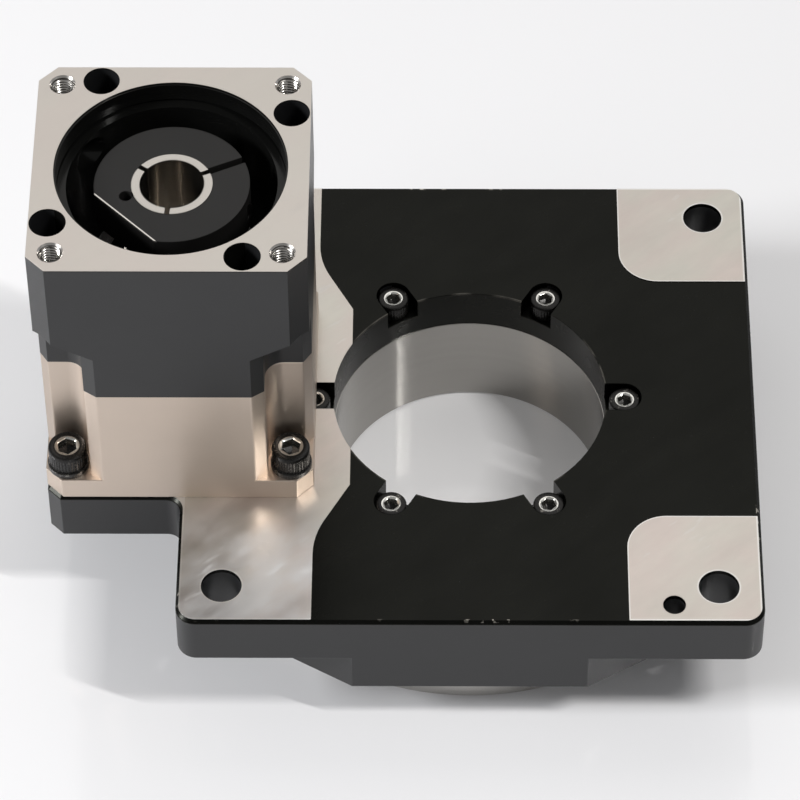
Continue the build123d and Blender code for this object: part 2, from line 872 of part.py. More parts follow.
def make_input_shaft():
    """Hollow input shaft: sun stub, bearing journal, and a collet end in three fingers."""
    shaft = disc(sun_bore_r(), planet_bottom, planet_top)
    shaft += disc(input_neck_d / 2, planet_top, input_bearing_bottom)
    shaft += disc(input_journal_d / 2, input_bearing_bottom, input_bearing_top)
    shaft += disc(input_collar_d / 2, input_bearing_top, input_bearing_top + input_collar_height)
    shaft += disc(collet_r, input_bearing_top, collet_top)
    shaft -= disc(motor_shaft_d / 2, input_bearing_bottom + input_floor, collet_top)
    for angle in circle_angles(3, clamp_angle):
        slot = Box(2 * collet_r, collet_slot, collet_depth, align=(Align.MIN, Align.CENTER, Align.MAX))
        shaft -= Pos(0, 0, collet_top) * Rot(0, 0, angle) * slot
    return at_gearbox(shaft)


def make_clamp_collar():
    """Clamp collar with its slit, balancing flat and hole, and the bore of its screw."""
    low = collet_top - clamp_height
    collar = ring(clamp_r, collet_r, low, collet_top)
    slit = Box(2 * clamp_r, clamp_slit, clamp_height, align=(Align.MIN, Align.CENTER, Align.MIN))
    collar -= Pos(0, 0, low) * Rot(0, 0, clamp_angle) * slit
    flat = Box(clamp_r, 2 * clamp_r, clamp_height, align=(Align.MIN, Align.CENTER, Align.MIN))
    collar -= Rot(0, 0, clamp_flat_angle) * Pos(clamp_r - clamp_flat_cut, 0, low) * flat
    x, y = polar(collet_r + balance_hole_d / 2 + balance_hole_gap, balance_hole_angle)
    collar -= disc(balance_hole_d / 2, collet_top - balance_hole_d, collet_top, x, y)
    seat = clamp_screw_seat()
    hole = disc(screw_d / 2 + seat_fit, seat - clamp_screw_length - thread_run_out, seat)
    hole += disc(head_r + seal_fit, seat, clamp_r)
    collar -= clamp_screw_place() * hole
    return at_gearbox(collar)


def clamp_screw_place():
    """Place of the clamp screw: across the slit, at half the collar's height."""
    middle = collet_top - clamp_height / 2
    return Rot(0, 0, clamp_angle) * Pos(clamp_screw_r, 0, middle) * Rot(-90, 0, 0)


def clamp_screw_seat():
    """Distance from the slit to the seat of the clamp screw's head."""
    return math.sqrt(clamp_r ** 2 - (clamp_screw_r + head_r) ** 2)


def make_clamp_screw():
    """Socket screw that closes the collar."""
    screw = cap_screw(screw_d, head_r, clamp_screw_length, clamp_screw_seat())
    return at_gearbox(clamp_screw_place() * screw)


def make_input_seal():
    """Lip seal between the adapter block and the input shaft's neck."""
    shaft = input_neck_d / 2 + seal_fit
    high = input_seal_bottom + input_seal_height
    return at_gearbox(turned([
        (input_seal_d / 2, input_seal_bottom),
        (input_seal_d / 2, high),
        (shaft, high),
        (shaft, high - seal_lip),
        (input_seal_d / 2 - seal_case, high - seal_lip),
        (input_seal_d / 2 - seal_case, input_seal_bottom),
    ]))


def make_input_circlip():
    """Retaining ring over the input bearing, open at one side with two ears."""
    high = adapter_floor_top - 0.3
    low = input_bearing_top
    clip = ring(input_bearing_d / 2, input_bearing_d / 2 - circlip_band, low, high)
    opening = Box(circlip_opening, 4 * circlip_band, high - low, align=BASE)
    clip -= Pos(0, -input_bearing_d / 2, low) * opening
    return at_gearbox(clip)


def make_adapter_block():
    """Black motor adapter: pilot, threads, counterbores and the slanted corner pockets."""
    block = prism(bevelled_square(gearbox_side, adapter_chamfer), body_top, adapter_top)
    apex = body_top + adapter_pocket_top
    reach = gearbox_side
    fall = reach * math.tan(math.radians(adapter_pocket_slope))
    roof = Pos(half_side, half_side, apex - fall) * Cone(reach, 0.01, fall, align=BASE)
    roof += disc(reach, body_top - fall, apex - fall, half_side, half_side)
    pocket = prism(pocket_outline(), body_top, apex) & roof
    for angle in circle_angles(4):
        block -= Rot(0, 0, angle) * pocket
    block += disc(ring_gear_r - seat_fit, ring_gear_top, body_top)
    block -= disc(input_seal_d / 2, input_seal_bottom, input_bearing_bottom)
    block -= disc(input_bearing_d / 2, input_bearing_bottom, adapter_floor_top)
    block -= disc(adapter_cavity_d / 2, adapter_floor_top, adapter_top)
    floor = adapter_top - pilot_depth
    block -= disc(pilot_d / 2, floor, adapter_top)
    block -= disc(pilot_d / 2 + pilot_undercut, floor, floor + pilot_undercut_height)
    block -= disc(pilot_d / 2 + pilot_chamfer, adapter_top - pilot_chamfer, adapter_top)
    for x, y in square_corners(motor_thread_at):
        block -= thread_hole(large_screw_d, adapter_top - motor_thread_depth, adapter_top, x, y)
    floor = body_top + counterbore_floor
    for x, y in adapter_screw_places():
        block -= disc((screw_d + clearance_extra) / 2, body_top, floor, x, y)
        block -= disc(counterbore_d / 2, floor, adapter_top, x, y)
    block -= access_tool(access_hole_d / 2, half_side)
    return at_gearbox(block)


def access_tool(radius, length):
    """Bar from the adapter's left face inwards, in line with the clamp screw."""
    middle = collet_top - clamp_height / 2
    bar = Cylinder(radius, length, align=BASE)
    return Pos(-half_side, clamp_screw_r, middle) * Rot(0, 90, 0) * bar


def make_access_plug():
    """Push in plug that closes the access hole."""
    return at_gearbox(access_tool(access_hole_d / 2, plug_length))


def make_adapter_screws():
    """Screws deep in the counterbores that hold adapter and gearbox body together."""
    seat = body_top + counterbore_floor
    screw = cap_screw(screw_d, head_r, adapter_screw_length, seat)
    return [at_gearbox(Pos(x, y, 0) * screw) for x, y in adapter_screw_places()]


def make_parts():
    """Every node of the actuator: its name and its solid or solids."""
    output = bearing(output_shaft_d / 2, output_bearing_bottom, output_bearing_width)
    entry = bearing(input_journal_d / 2, input_bearing_bottom, input_bearing_width)
    lower_race, upper_race = make_outer_races()
    nodes = {
        "housing": make_housing(),
        "hub_ring": make_hub_ring(),
        "hub_screws": make_hub_screws(),
        "hub_lock_ring": make_lock_ring(),
        "bearing_inner_ring": make_inner_race(),
        "bearing_outer_ring_lower": lower_race,
        "bearing_outer_ring_upper": upper_race,
        "crossed_rollers": make_rollers(),
        "table_seal": make_table_seal(),
        "turntable": make_turntable(),
        "table_gear": make_table_gear(),
        "table_gear_screws": make_gear_screws(),
        "gearbox_body": make_gearbox_body(),
        "gearbox_screws": make_gearbox_screws(),
        "gearbox_washers": make_gearbox_washers(),
        "planet_ring_gear": make_ring_gear(),
        "output_seal": make_output_seal(),
        "output_bearing_outer": at_gearbox(output[0]),
        "output_bearing_inner": at_gearbox(output[1]),
        "output_bearing_balls": [at_gearbox(ball) for ball in output[2]],
        "planet_carrier": make_carrier(),
        "carrier_cover": make_carrier_cover(),
        "planet_pins": make_planet_pins(),
        "pinion": make_pinion(),
        "pinion_key": make_pinion_key(),
        "pinion_screw": make_pinion_screw(),
        "sun_gear": make_sun_gear(),
        "input_shaft": make_input_shaft(),
        "clamp_collar": make_clamp_collar(),
        "clamp_screw": make_clamp_screw(),
        "input_bearing_outer": at_gearbox(entry[0]),
        "input_bearing_inner": at_gearbox(entry[1]),
        "input_bearing_balls": [at_gearbox(ball) for ball in entry[2]],
        "input_seal": make_input_seal(),
        "input_circlip": make_input_circlip(),
        "adapter_block": make_adapter_block(),
        "adapter_screws": make_adapter_screws(),
        "access_plug": make_access_plug(),
    }
    for index in range(planet_count):
        nodes[f"planet_gear_{index + 1}"] = make_planet(index)
    return nodes


os.makedirs("parts", exist_ok=True)
for name, shape in make_parts().items():
    if isinstance(shape, list):
        shape = Compound(children=shape)
    export_step(shape, f"parts/{name}.step")
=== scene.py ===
"""Looks of the hollow rotary actuator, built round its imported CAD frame.

The frame gives every solid in its place, in metres. Each sub-assembly is a class that
dresses its own pieces: it copies a CAD solid, cleans it and rounds its edges, adds what
the solids leave out, such as knurls and screw threads, and gives each piece its finish.
"""
import logging
import math
from dataclasses import dataclass, field
from enum import Enum
from typing import Callable, Sequence

import bmesh
import bpy
from bpy.types import Camera, Light, Material, Mesh, Object
from mathutils import Matrix, Vector


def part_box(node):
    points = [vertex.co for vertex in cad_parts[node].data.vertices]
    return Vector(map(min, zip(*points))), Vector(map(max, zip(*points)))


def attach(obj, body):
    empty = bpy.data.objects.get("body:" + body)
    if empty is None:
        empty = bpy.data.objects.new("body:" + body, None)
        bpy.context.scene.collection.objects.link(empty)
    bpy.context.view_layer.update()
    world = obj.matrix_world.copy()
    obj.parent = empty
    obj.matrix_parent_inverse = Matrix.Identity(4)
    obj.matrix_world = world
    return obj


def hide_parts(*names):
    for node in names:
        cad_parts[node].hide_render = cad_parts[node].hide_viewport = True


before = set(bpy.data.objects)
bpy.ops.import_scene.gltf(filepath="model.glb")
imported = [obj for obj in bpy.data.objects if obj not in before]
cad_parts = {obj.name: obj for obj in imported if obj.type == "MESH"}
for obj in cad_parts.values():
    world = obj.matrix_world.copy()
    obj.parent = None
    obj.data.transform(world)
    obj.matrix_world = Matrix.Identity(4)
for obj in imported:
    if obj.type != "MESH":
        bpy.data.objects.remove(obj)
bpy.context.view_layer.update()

# Lengths are in metres unless a field or docstring says millimetres, and these angles in degrees.
MM = 0.001
TOUCHING = 1e-6
SHARP = 38.0
SCREW_SHARP = 30.0
FLAT = 0.4
FLAT_FACE_WEIGHT = 90
FULL_TURN = 2 * math.pi
log = logging.getLogger("actuator")

Colour = tuple[float, float, float]


class Body(str, Enum):
    """The bodies of the frame that pieces ride on."""

    HOUSING = "housing"
    TABLE = "table"
    INPUT = "input"


class Slot(str, Enum):
    """The record's material slots."""

    ANODISED = "black_anodised"
    NICKEL = "nickel_body"
    STEEL = "machined_steel"
    ALUMINIUM = "bright_aluminium"
    GEAR = "gear_steel"
    SCREW = "black_screw"
    SPRING = "spring_steel"
    COLLAR = "collar_black"
    RUBBER = "nitrile_rubber"
    PLASTIC = "plug_plastic"


class Signal:
    """An output of a node that takes part in Python arithmetic."""

    def __init__(self, tree: "NodeTree", socket: bpy.types.NodeSocket) -> None:
        """Keeps the tree and the output socket."""
        self.tree = tree
        self.socket = socket

    def math(self, operation: str, *values: "Value", clamp: bool = False) -> "Signal":
        """Output of a Math node with these inputs, which may be kept between 0 and 1."""
        settings = {"operation": operation, "use_clamp": clamp}
        return self.tree.node("ShaderNodeMath", settings, dict(enumerate(values)))

    def __add__(self, other: "Value") -> "Signal":
        """Sum."""
        return self.math("ADD", self, other)

    def __sub__(self, other: "Value") -> "Signal":
        """Difference."""
        return self.math("SUBTRACT", self, other)

    def __rsub__(self, other: float) -> "Signal":
        """Number minus signal."""
        return self.math("SUBTRACT", other, self)

    def __mul__(self, other: "Value") -> "Signal":
        """Product."""
        return self.math("MULTIPLY", self, other)

    def __truediv__(self, other: "Value") -> "Signal":
        """Quotient."""
        return self.math("DIVIDE", self, other)

    def __pow__(self, other: float) -> "Signal":
        """Power."""
        return self.math("POWER", self, other)

    __radd__ = __add__
    __rmul__ = __mul__

    def above(self, edge: float, width: float) -> "Signal":
        """Soft mask that rises to 1 over a width, and is one half at the edge."""
        return self.math("MULTIPLY_ADD", self, 1.0 / width, 0.5 - edge / width, clamp=True)

    def below(self, edge: float, width: float) -> "Signal":
        """Soft mask that falls to 0 over a width, and is one half at the edge."""
        return 1.0 - self.above(edge, width)

    def between(self, low: float, high: float, width: float) -> "Signal":
        """Soft mask that is 1 between two edges."""
        return self.above(low, width) * self.below(high, width)

    def most(self, other: "Value") -> "Signal":
        """Larger of two values."""
        return self.math("MAXIMUM", self, other)

    def scaled(self, factor: "Value") -> "Signal":
        """Vector or colour times a number."""
        return self.tree.node("ShaderNodeVectorMath", {"operation": "SCALE"}, {0: self, "Scale": factor})


Value = Signal | float
Paint = Signal | Colour


class NodeTree:
    """A node tree whose nodes are added by their outputs."""

    def __init__(self, tree: bpy.types.NodeTree) -> None:
        """Keeps the tree."""
        self.tree = tree

    def node(self, kind: str, settings: dict | None = None, inputs: dict | None = None,
             output: int | str = 0) -> Signal:
        """Adds any node.

        Args:
            kind: Type name of the node.
            settings: Its own settings, set first.
            inputs: Values or signals of its sockets, by index or name.
            output: Index or name of the output to return.

        Returns:
            That output.
        """
        made = self.tree.nodes.new(kind)
        for key, value in (settings or {}).items():
            setattr(made, key, value)
        for key, value in (inputs or {}).items():
            if isinstance(value, Signal):
                self.tree.links.new(value.socket, made.inputs[key])
            else:
                made.inputs[key].default_value = value
        return Signal(self, made.outputs[output])

    def vector(self, x: Value, y: Value, z: Value) -> Signal:
        """Vector from three values."""
        return self.node("ShaderNodeCombineXYZ", inputs={0: x, 1: y, 2: z})


class Graph(NodeTree):
    """The node tree of one material."""

    def __init__(self, name: str) -> None:
        """Makes a material with an empty tree.

        Args:
            name: Name of the material.
        """
        self.material = bpy.data.materials.new(name)
        self.material.use_nodes = True
        super().__init__(self.material.node_tree)
        self.tree.nodes.clear()
        self._place: Signal | None = None

    def place(self) -> Signal:
        """Adds the object coordinates, once.

        Returns:
            The coordinates, in metres in the frame that all solids share.
        """
        if self._place is None:
            self._place = self.node("ShaderNodeTexCoord", output="Object")
        return self._place

    def axis(self, name: str) -> Signal:
        """One object coordinate, by the name X, Y or Z."""
        return self.node("ShaderNodeSeparateXYZ", inputs={0: self.place()}, output=name)

    def radius(self, centre: tuple[float, float] = (0.0, 0.0)) -> Signal:
        """Distance from an upright axis.

        Args:
            centre: Plan point of the axis, in metres.

        Returns:
            The distance, in metres.
        """
        x = self.axis("X") - centre[0]
        y = self.axis("Y") - centre[1]
        return (x * x + y * y) ** 0.5

    def turned(self, degrees: float) -> Signal:
        """Object coordinates turned about the upright axis."""
        inputs = {0: self.place(), "Angle": math.radians(degrees)}
        return self.node("ShaderNodeVectorRotate", {"rotation_type": "Z_AXIS"}, inputs)

    def noise(self, scale: float, detail: float = 3.0, where: Signal | None = None,
              stretch: tuple[float, float, float] | None = None) -> Signal:
        """Noise between 0 and 1.

        Args:
            scale: Cells to a metre.
            detail: Octaves.
            where: Coordinates, if not the object's own.
            stretch: Factors on the three coordinates.

        Returns:
            The noise.
        """
        where = where or self.place()
        if stretch:
            settings = {"operation": "MULTIPLY"}
            where = self.node("ShaderNodeVectorMath", settings, {0: where, 1: stretch})
        return self.node("ShaderNodeTexNoise", None, {"Vector": where, "Scale": scale, "Detail": detail})

    def mix(self, factor: Value, first: Paint, second: Paint, blend: str = "MIX") -> Paint:
        """Blend of two colours.

        Args:
            factor: Share of the second colour.
            first: First colour.
            second: Second colour.
            blend: Name of the Mix node's blend type.

        Returns:
            The blended colour, or the first one where the factor is plain 0.
        """
        if factor == 0.0:
            return first
        pair = [c if isinstance(c, Signal) else (*c, 1.0) for c in (first, second)]
        settings = {"data_type": "RGBA", "blend_type": blend}
        return self.node("ShaderNodeMix", settings, {0: factor, 6: pair[0], 7: pair[1]}, 2)

    def shade(self, colour: Paint, factor: float) -> Paint:
        """A colour made lighter or darker.

        Args:
            colour: The colour.
            factor: What it is multiplied by.

        Returns:
            The new colour.
        """
        if isinstance(colour, Signal):
            return colour.scaled(factor)
        return tuple(factor * share for share in colour)

    def uneven(self, mask: Signal, colour: Paint, low: float, high: float) -> Paint:
        """A colour times a factor that goes from low, where the mask is 0, to high, where it is 1."""
        return self.mix(mask, self.shade(colour, low), self.shade(colour, high))

    def bump(self, height: Signal, depth: float, strength: float = 1.0,
             under: Signal | None = None) -> Signal:
        """Normal tilted by a height.

        Args:
            height: Height between 0 and 1.
            depth: What 1 stands for, in metres.
            strength: Share of the effect.
            under: Normal of a bump below this one.

        Returns:
            The normal.
        """
        inputs = {"Height": height, "Distance": depth, "Strength": strength}
        if under:
            inputs["Normal"] = under
        return self.node("ShaderNodeBump", None, inputs)

    def surface(self, **sockets: Value | Colour) -> Material:
        """Closes the tree with a Principled shader.

        Args:
            sockets: Its sockets' values or signals, with _ for each space.

        Returns:
            The material.
        """
        inputs = {}
        for key, value in sockets.items():
            if isinstance(value, tuple):
                value = (*value, 1.0)
            inputs[key.replace("_", " ")] = value
        shader = self.node("ShaderNodeBsdfPrincipled", None, inputs)
        self.node_out(shader)
        return self.material

    def node_out(self, shader: Signal) -> None:
        """Links a shader to the material's output."""
        out = self.tree.nodes.new("ShaderNodeOutputMaterial")
        self.tree.links.new(shader.socket, out.inputs["Surface"])


@dataclass(frozen=True)
class BlackAnodised:
    """Black anodised aluminium: grey blasted sides, a deep black skin and bright machined faces."""

    name: str
    bright_above: float
    skin_above: float
    bore_radius: float
    bore_centre: tuple[float, float] = (0.0, 0.0)
    bright_colour: Colour = (0.85, 0.79, 0.735)
    side: Colour = (0.0135, 0.0139, 0.015)
    skin: Colour = (0.017, 0.0173, 0.0155)
    side_roughness: float = 0.38
    skin_roughness: float = 0.27
    bright_roughness: float = 0.36
    smears: float = 1.0
    skin_metallic: float = 1.0
    rubbing: float = -40.0

    def material(self) -> Material:
        """Builds the finish.

        Returns:
            The material.
        """
        g = Graph(self.name)
        height = g.axis("Z")
        bright = height.above(self.bright_above, 0.04 * MM)
        bore = g.radius(self.bore_centre).below(self.bore_radius, 0.05 * MM)
        skin = height.above(self.skin_above, 0.04 * MM).most(bore)
        clouds = g.noise(38.0, 3.0)
        along = g.turned(self.rubbing)
        smears = g.noise(150.0, 5.0, along, stretch=(0.4, 1.0, 1.0))
        tints = g.noise(75.0, 3.0, along, stretch=(0.6, 1.0, 1.0)).above(0.5, 0.3)
        grain = g.noise(5200.0, 2.0)
        specks = g.noise(900.0, 2.0).above(0.735, 0.03)
        scuffs = g.noise(420.0, 4.0, along, stretch=(0.3, 1.0, 1.0))
        scuffs = (scuffs * 0.7 + clouds * 0.3).above(0.64, 0.06)
        tone = (clouds * 0.5 + smears * 0.5).above(0.5, 0.3)
        metal = g.uneven(tone, self.bright_colour, 1.0 - 0.24 * self.smears, 1.0)
        tint = g.mix(tints, (1.0, 0.95, 0.945), (0.96, 1.0, 0.965))
        metal = g.mix(0.8 * self.smears, metal, tint, "MULTIPLY")
        metal = g.mix(scuffs * (0.35 * self.smears), metal, (0.95, 0.93, 0.9))
        # Painted reflection: the pale patches lift the metal's colour in place of light that the pad
        # reflects; the added roughness makes them duller.
        painted_pale_patches = self.painted_pale_patches(g)
        metal = g.mix(painted_pale_patches * 0.8, metal, (0.93, 0.94, 0.95))
        black = g.uneven(tone, g.mix(skin, self.side, self.skin), 0.9, 1.12)
        black = g.mix(specks * 0.4, black, (0.03, 0.03, 0.028))
        # Painted highlight: the rim bands of the bright faces are painted paler, in place of light caught
        # on their edges.
        painted_rim_highlights, worn = self.edges(g, skin)
        metal = g.mix(painted_rim_highlights, metal, (0.985, 0.97, 0.94))
        # Real wear and painted highlight: worn bares the black to aluminium at chips on the edges, and
        # paints a broken highlight round the bore's mouth.
        black = g.mix(worn, black, (0.55, 0.52, 0.46))
        metal_rough = self.bright_roughness + (tone - 0.5) * (0.16 * self.smears) + scuffs * 0.08
        metal_rough = metal_rough + painted_pale_patches * 0.12
        black_rough = self.side_roughness + skin * (self.skin_roughness - self.side_roughness)
        black_rough = black_rough + (smears - 0.5) * 0.05
        rough = metal_rough * bright + black_rough * (1.0 - bright)
        normal = g.bump(grain, 0.012 * MM, 0.35)
        normal = g.bump(smears, 0.06 * MM, 0.3 * self.smears, under=normal)
        metallic = bright.most(skin * self.skin_metallic)
        return g.surface(Base_Color=g.mix(bright, black, metal), Metallic=metallic, Roughness=rough,
                         Specular_IOR_Level=0.5, Normal=normal)

    def painted_pale_patches(self, g: Graph) -> Value:
        """Where the bright faces are painted a paler grey, a painted reflection, and made duller, which is
        nowhere here.
        """
        return 0.0

    def edges(self, g: Graph, skin: Signal) -> tuple[Value, Value]:
        """Where the bright faces get a painted highlight along their rim, and where the black skin is worn
        off or gets a painted highlight.
        """
        return 0.0, 0.0


@dataclass(frozen=True)
class PlateAnodised(BlackAnodised):
    """Finish of the plate, with a painted highlight along the rim of its pads, holes and border, a painted
    highlight round the bore's mouth, and worn outer edges.
    """

    half_side: float = 65.0 * MM
    pad_from: float = 35.0 * MM
    pad_radius: float = 9.0 * MM
    hole_at: float = 55.0 * MM
    hole_radius: float = 4.5 * MM
    bore: float = 31.15 * MM
    rim: float = 0.26 * MM

    def painted_pale_patches(self, g: Graph) -> Value:
        """Where the near left pad is painted paler in patches, a painted reflection, and made duller.

        Args:
            g: The material's tree.

        Returns:
            The mask.
        """
        along = g.turned(self.rubbing)
        patches = g.noise(110.0, 4.0, along, stretch=(0.6, 1.0, 1.0)).above(0.45, 0.25)
        corner = g.axis("X").below(-15.0 * MM, 10.0 * MM) * g.axis("Y").below(-36.0 * MM, 12.0 * MM)
        return corner * (patches * 0.6 + 0.4)

    def edges(self, g: Graph, skin: Signal) -> tuple[Value, Value]:
        """Where the pads, corner holes and border get a painted highlight along their rim, and where the
        black is worn off at chips or gets a painted highlight round the bore's mouth.

        Args:
            g: The material's tree.
            skin: Mask of the black skin.

        Returns:
            Both masks.
        """
        x, y = g.axis("X"), g.axis("Y")
        wide, deep = x.math("ABSOLUTE", x), y.math("ABSOLUTE", y)
        across = (self.pad_from + self.pad_radius - x).most(0.0)
        along = (self.pad_from + self.pad_radius - deep).most(0.0)
        inward = self.pad_radius - (across * across + along * along) ** 0.5
        # Painted highlight: a band along the rim of each pad, corner hole and border of the plate.
        pad_rim_highlight = inward.below(self.rim, 0.1 * MM) * x.above(self.pad_from - 1.0 * MM, 0.1 * MM)
        from_hole_x, from_hole_y = wide - self.hole_at, deep - self.hole_at
        hole = (from_hole_x * from_hole_x + from_hole_y * from_hole_y) ** 0.5
        outer = self.half_side - 0.8 * MM
        border = wide.most(deep).above(outer - self.rim, 0.1 * MM)
        painted_rim_highlights = pad_rim_highlight.most(hole.below(self.hole_radius + 1.3 * self.rim, 0.3 * MM)).most(border)
        chips = g.noise(620.0, 4.0).above(0.59, 0.03) * g.noise(42.0, 1.0).above(0.575, 0.05)
        chipped = wide.most(deep).above(self.half_side - 0.95 * MM, 0.1 * MM) * chips
        # Painted highlight: a thin, broken ring round the bore's mouth is painted lighter, in place of
        # light on its rounded edge.
        mouth = g.radius().between(self.bore - 0.2 * MM, self.bore + 0.3 * MM, 0.08 * MM)
        painted_mouth_highlight = g.noise(70.0, 2.0).above(0.54, 0.06) * mouth * 0.12
        top = g.axis("Z").above(self.skin_above + 0.5 * MM, 0.1 * MM)
        return painted_rim_highlights * 0.8, chipped.most(painted_mouth_highlight) * skin * top


@dataclass(frozen=True)
class SatinNickel:
    """Warm satin nickel, blasted before plating."""

    name: str = "satin_nickel"
    colour: Colour = (0.64, 0.545, 0.465)
    roughness: float = 0.4

    def material(self) -> Material:
        """Builds the finish.

        Returns:
            The material.
        """
        g = Graph(self.name)
        clouds = g.noise(60.0, 4.0)
        grain = g.noise(6500.0, 2.0)
        drawn = g.noise(2600.0, 2.0, stretch=(1.0, 1.0, 0.04))
        specks = g.noise(1300.0, 2.0).above(0.74, 0.03)
        tone = g.uneven(clouds, self.colour, 0.9, 1.06)
        tone = g.mix(specks * 0.3, tone, (0.72, 0.68, 0.62))
        rough = self.roughness + (clouds - 0.5) * 0.12 + (drawn - 0.5) * 0.08
        normal = g.bump(grain, 0.01 * MM, 0.4)
        return g.surface(Base_Color=tone, Metallic=1.0, Roughness=rough, Normal=normal)


@dataclass(frozen=True)
class Turned:
    """Bright metal turned on a lathe, with fine rings about an upright axis."""

    name: str
    colour: Colour = (0.60, 0.58, 0.55)
    roughness: float = 0.24
    anisotropy: float = 0.75
    centre: tuple[float, float] = (0.0, 0.0)
    lines: float = 7000.0
    unevenness: float = 0.14
    relief: float = 0.0024 * MM

    def material(self) -> Material:
        """Builds the finish.

        Returns:
            The material.
        """
        g = Graph(self.name)
        rings = g.vector(g.radius(self.centre), 0.0, g.axis("Z"))
        fine = g.noise(self.lines, 2.0, rings)
        coarse = g.noise(self.lines / 9.0, 2.0, rings)
        clouds = g.noise(45.0, 3.0)
        tone = clouds * 0.55 + coarse * 0.45
        colour = g.uneven(tone, self.colour, 0.86, 1.08)
        rough = self.roughness + (tone - 0.5) * self.unevenness
        normal = g.bump(fine, self.relief)
        normal = g.bump(coarse, 0.012 * MM, 0.3, under=normal)
        return g.surface(Base_Color=colour, Metallic=1.0, Roughness=rough,
                         Anisotropic=self.anisotropy, Anisotropic_Rotation=0.25, Normal=normal)


@dataclass(frozen=True)
class GroundSteel:
    """Hard steel with a ground or rolled surface, a little oily."""

    name: str
    colour: Colour = (0.46, 0.45, 0.44)
    roughness: float = 0.22
    grain: float = 3000.0

    def material(self) -> Material:
        """Builds the finish.

        Returns:
            The material.
        """
        g = Graph(self.name)
        clouds = g.noise(160.0, 4.0)
        lines = g.noise(self.grain, 3.0, stretch=(1.0, 1.0, 0.12))
        oil = g.noise(90.0, 3.0).above(0.55, 0.25)
        colour = g.uneven(clouds, self.colour, 0.82, 1.1)
        rough = self.roughness + (lines - 0.5) * 0.12 + (clouds - 0.5) * 0.08
        normal = g.bump(lines, 0.008 * MM, 0.4)
        return g.surface(Base_Color=colour, Metallic=1.0, Roughness=rough, Coat_Weight=oil * 0.3,
                         Coat_Roughness=0.1, Normal=normal)


@dataclass(frozen=True)
class BlackOxide:
    """Blackened steel, worn to bare metal in small places."""

    name: str
    colour: Colour = (0.012, 0.0115, 0.011)
    worn: Colour = (0.3, 0.285, 0.26)
    roughness: float = 0.27
    wear: float = 0.66

    def material(self) -> Material:
        """Builds the finish.

        Returns:
            The material.
        """
        g = Graph(self.name)
        clouds = g.noise(420.0, 4.0)
        pits = g.noise(2600.0, 3.0)
        rub = (clouds * 0.7 + pits * 0.3).above(self.wear, 0.1)
        colour = g.mix(rub, g.uneven(clouds, self.colour, 1.0, 1.9), self.worn)
        rough = self.roughness + (pits - 0.5) * 0.16
        normal = g.bump(pits, 0.015 * MM, 0.4)
        return g.surface(Base_Color=colour, Metallic=0.6 + rub * 0.4, Roughness=rough, Normal=normal)


@dataclass(frozen=True)
class CollarFinish:
    """Satin black collar, with a thin bright metal band along the upper edge of its flat."""

    name: str
    top: float
    centre: tuple[float, float]
    flat_angle: float
    flat_distance: float

    def material(self) -> Material:
        """Builds the finish.

        Returns:
            The material.
        """
        g = Graph(self.name)
        angle = math.radians(self.flat_angle)
        across = (g.axis("X") - self.centre[0]) * math.cos(angle)
        across = across + (g.axis("Y") - self.centre[1]) * math.sin(angle)
        edge = across.above(self.flat_distance - 0.34 * MM, 0.05 * MM)
        edge = edge * g.axis("Z").above(self.top - 0.42 * MM, 0.05 * MM)
        clouds = g.noise(150.0, 4.0)
        grain = g.noise(4200.0, 2.0)
        rings = g.noise(5200.0, 2.0, g.vector(g.radius(self.centre), 0.0, g.axis("Z")))
        specks = g.noise(1500.0, 2.0).above(0.79, 0.03) * 0.3
        colour = g.mix(clouds, (0.0105, 0.01, 0.0095), (0.014, 0.0135, 0.013))
        colour = g.mix(edge.most(specks), colour, (0.82, 0.79, 0.74))
        rough = 0.46 + (rings - 0.5) * 0.1 - edge * 0.2
        normal = g.bump(grain * 0.5 + rings * 0.5, 0.01 * MM, 0.35)
        return g.surface(Base_Color=colour, Metallic=edge, Roughness=rough,
                         Specular_IOR_Level=0.4, Normal=normal)


@dataclass(frozen=True)
class Moulded:
    """Black rubber or plastic from a mould."""

    name: str
    colour: Colour = (0.016, 0.016, 0.017)
    roughness: float = 0.55
    grain: float = 2400.0

    def material(self) -> Material:
        """Builds the finish.

        Returns:
            The material.
        """
        g = Graph(self.name)
        clouds = g.noise(110.0, 3.0)
        grain = g.noise(self.grain, 3.0)
        dust = g.noise(800.0, 2.0).above(0.7, 0.08) * 0.35
        colour = g.uneven(clouds, self.colour, 1.0, 1.7)
        colour = g.mix(dust, colour, (0.12, 0.12, 0.11))
        rough = self.roughness + (clouds - 0.5) * 0.15
        return g.surface(Base_Color=colour, Roughness=rough, Specular_IOR_Level=0.4,
                         Normal=g.bump(grain, 0.02 * MM, 0.5))


@dataclass(frozen=True)
class PaleFloor:
    """White glossy board, unseen from below, which may glow a little as painted light, though it is no
    lamp.
    """

    name: str = "pale_floor"
    colour: Colour = (0.92, 0.92, 0.935)
    glow: float = 0.0

    def material(self) -> Material:
        """Builds the finish.

        Returns:
            The material.
        """
        g = Graph(self.name)
        clouds = g.noise(6.0, 3.0)
        colour = g.uneven(clouds, self.colour, 0.985, 1.0)
        inputs = {"Base Color": colour, "Roughness": 0.1, "Specular IOR Level": 0.5,
                  "Emission Color": (1.0, 1.0, 1.0, 1.0), "Emission Strength": self.glow}
        board = g.node("ShaderNodeBsdfPrincipled", None, inputs)
        clear = g.node("ShaderNodeBsdfTransparent")
        back = g.node("ShaderNodeNewGeometry", output="Backfacing")
        g.node_out(g.node("ShaderNodeMixShader", None, {0: back, 1: board, 2: clear}))
        return g.material


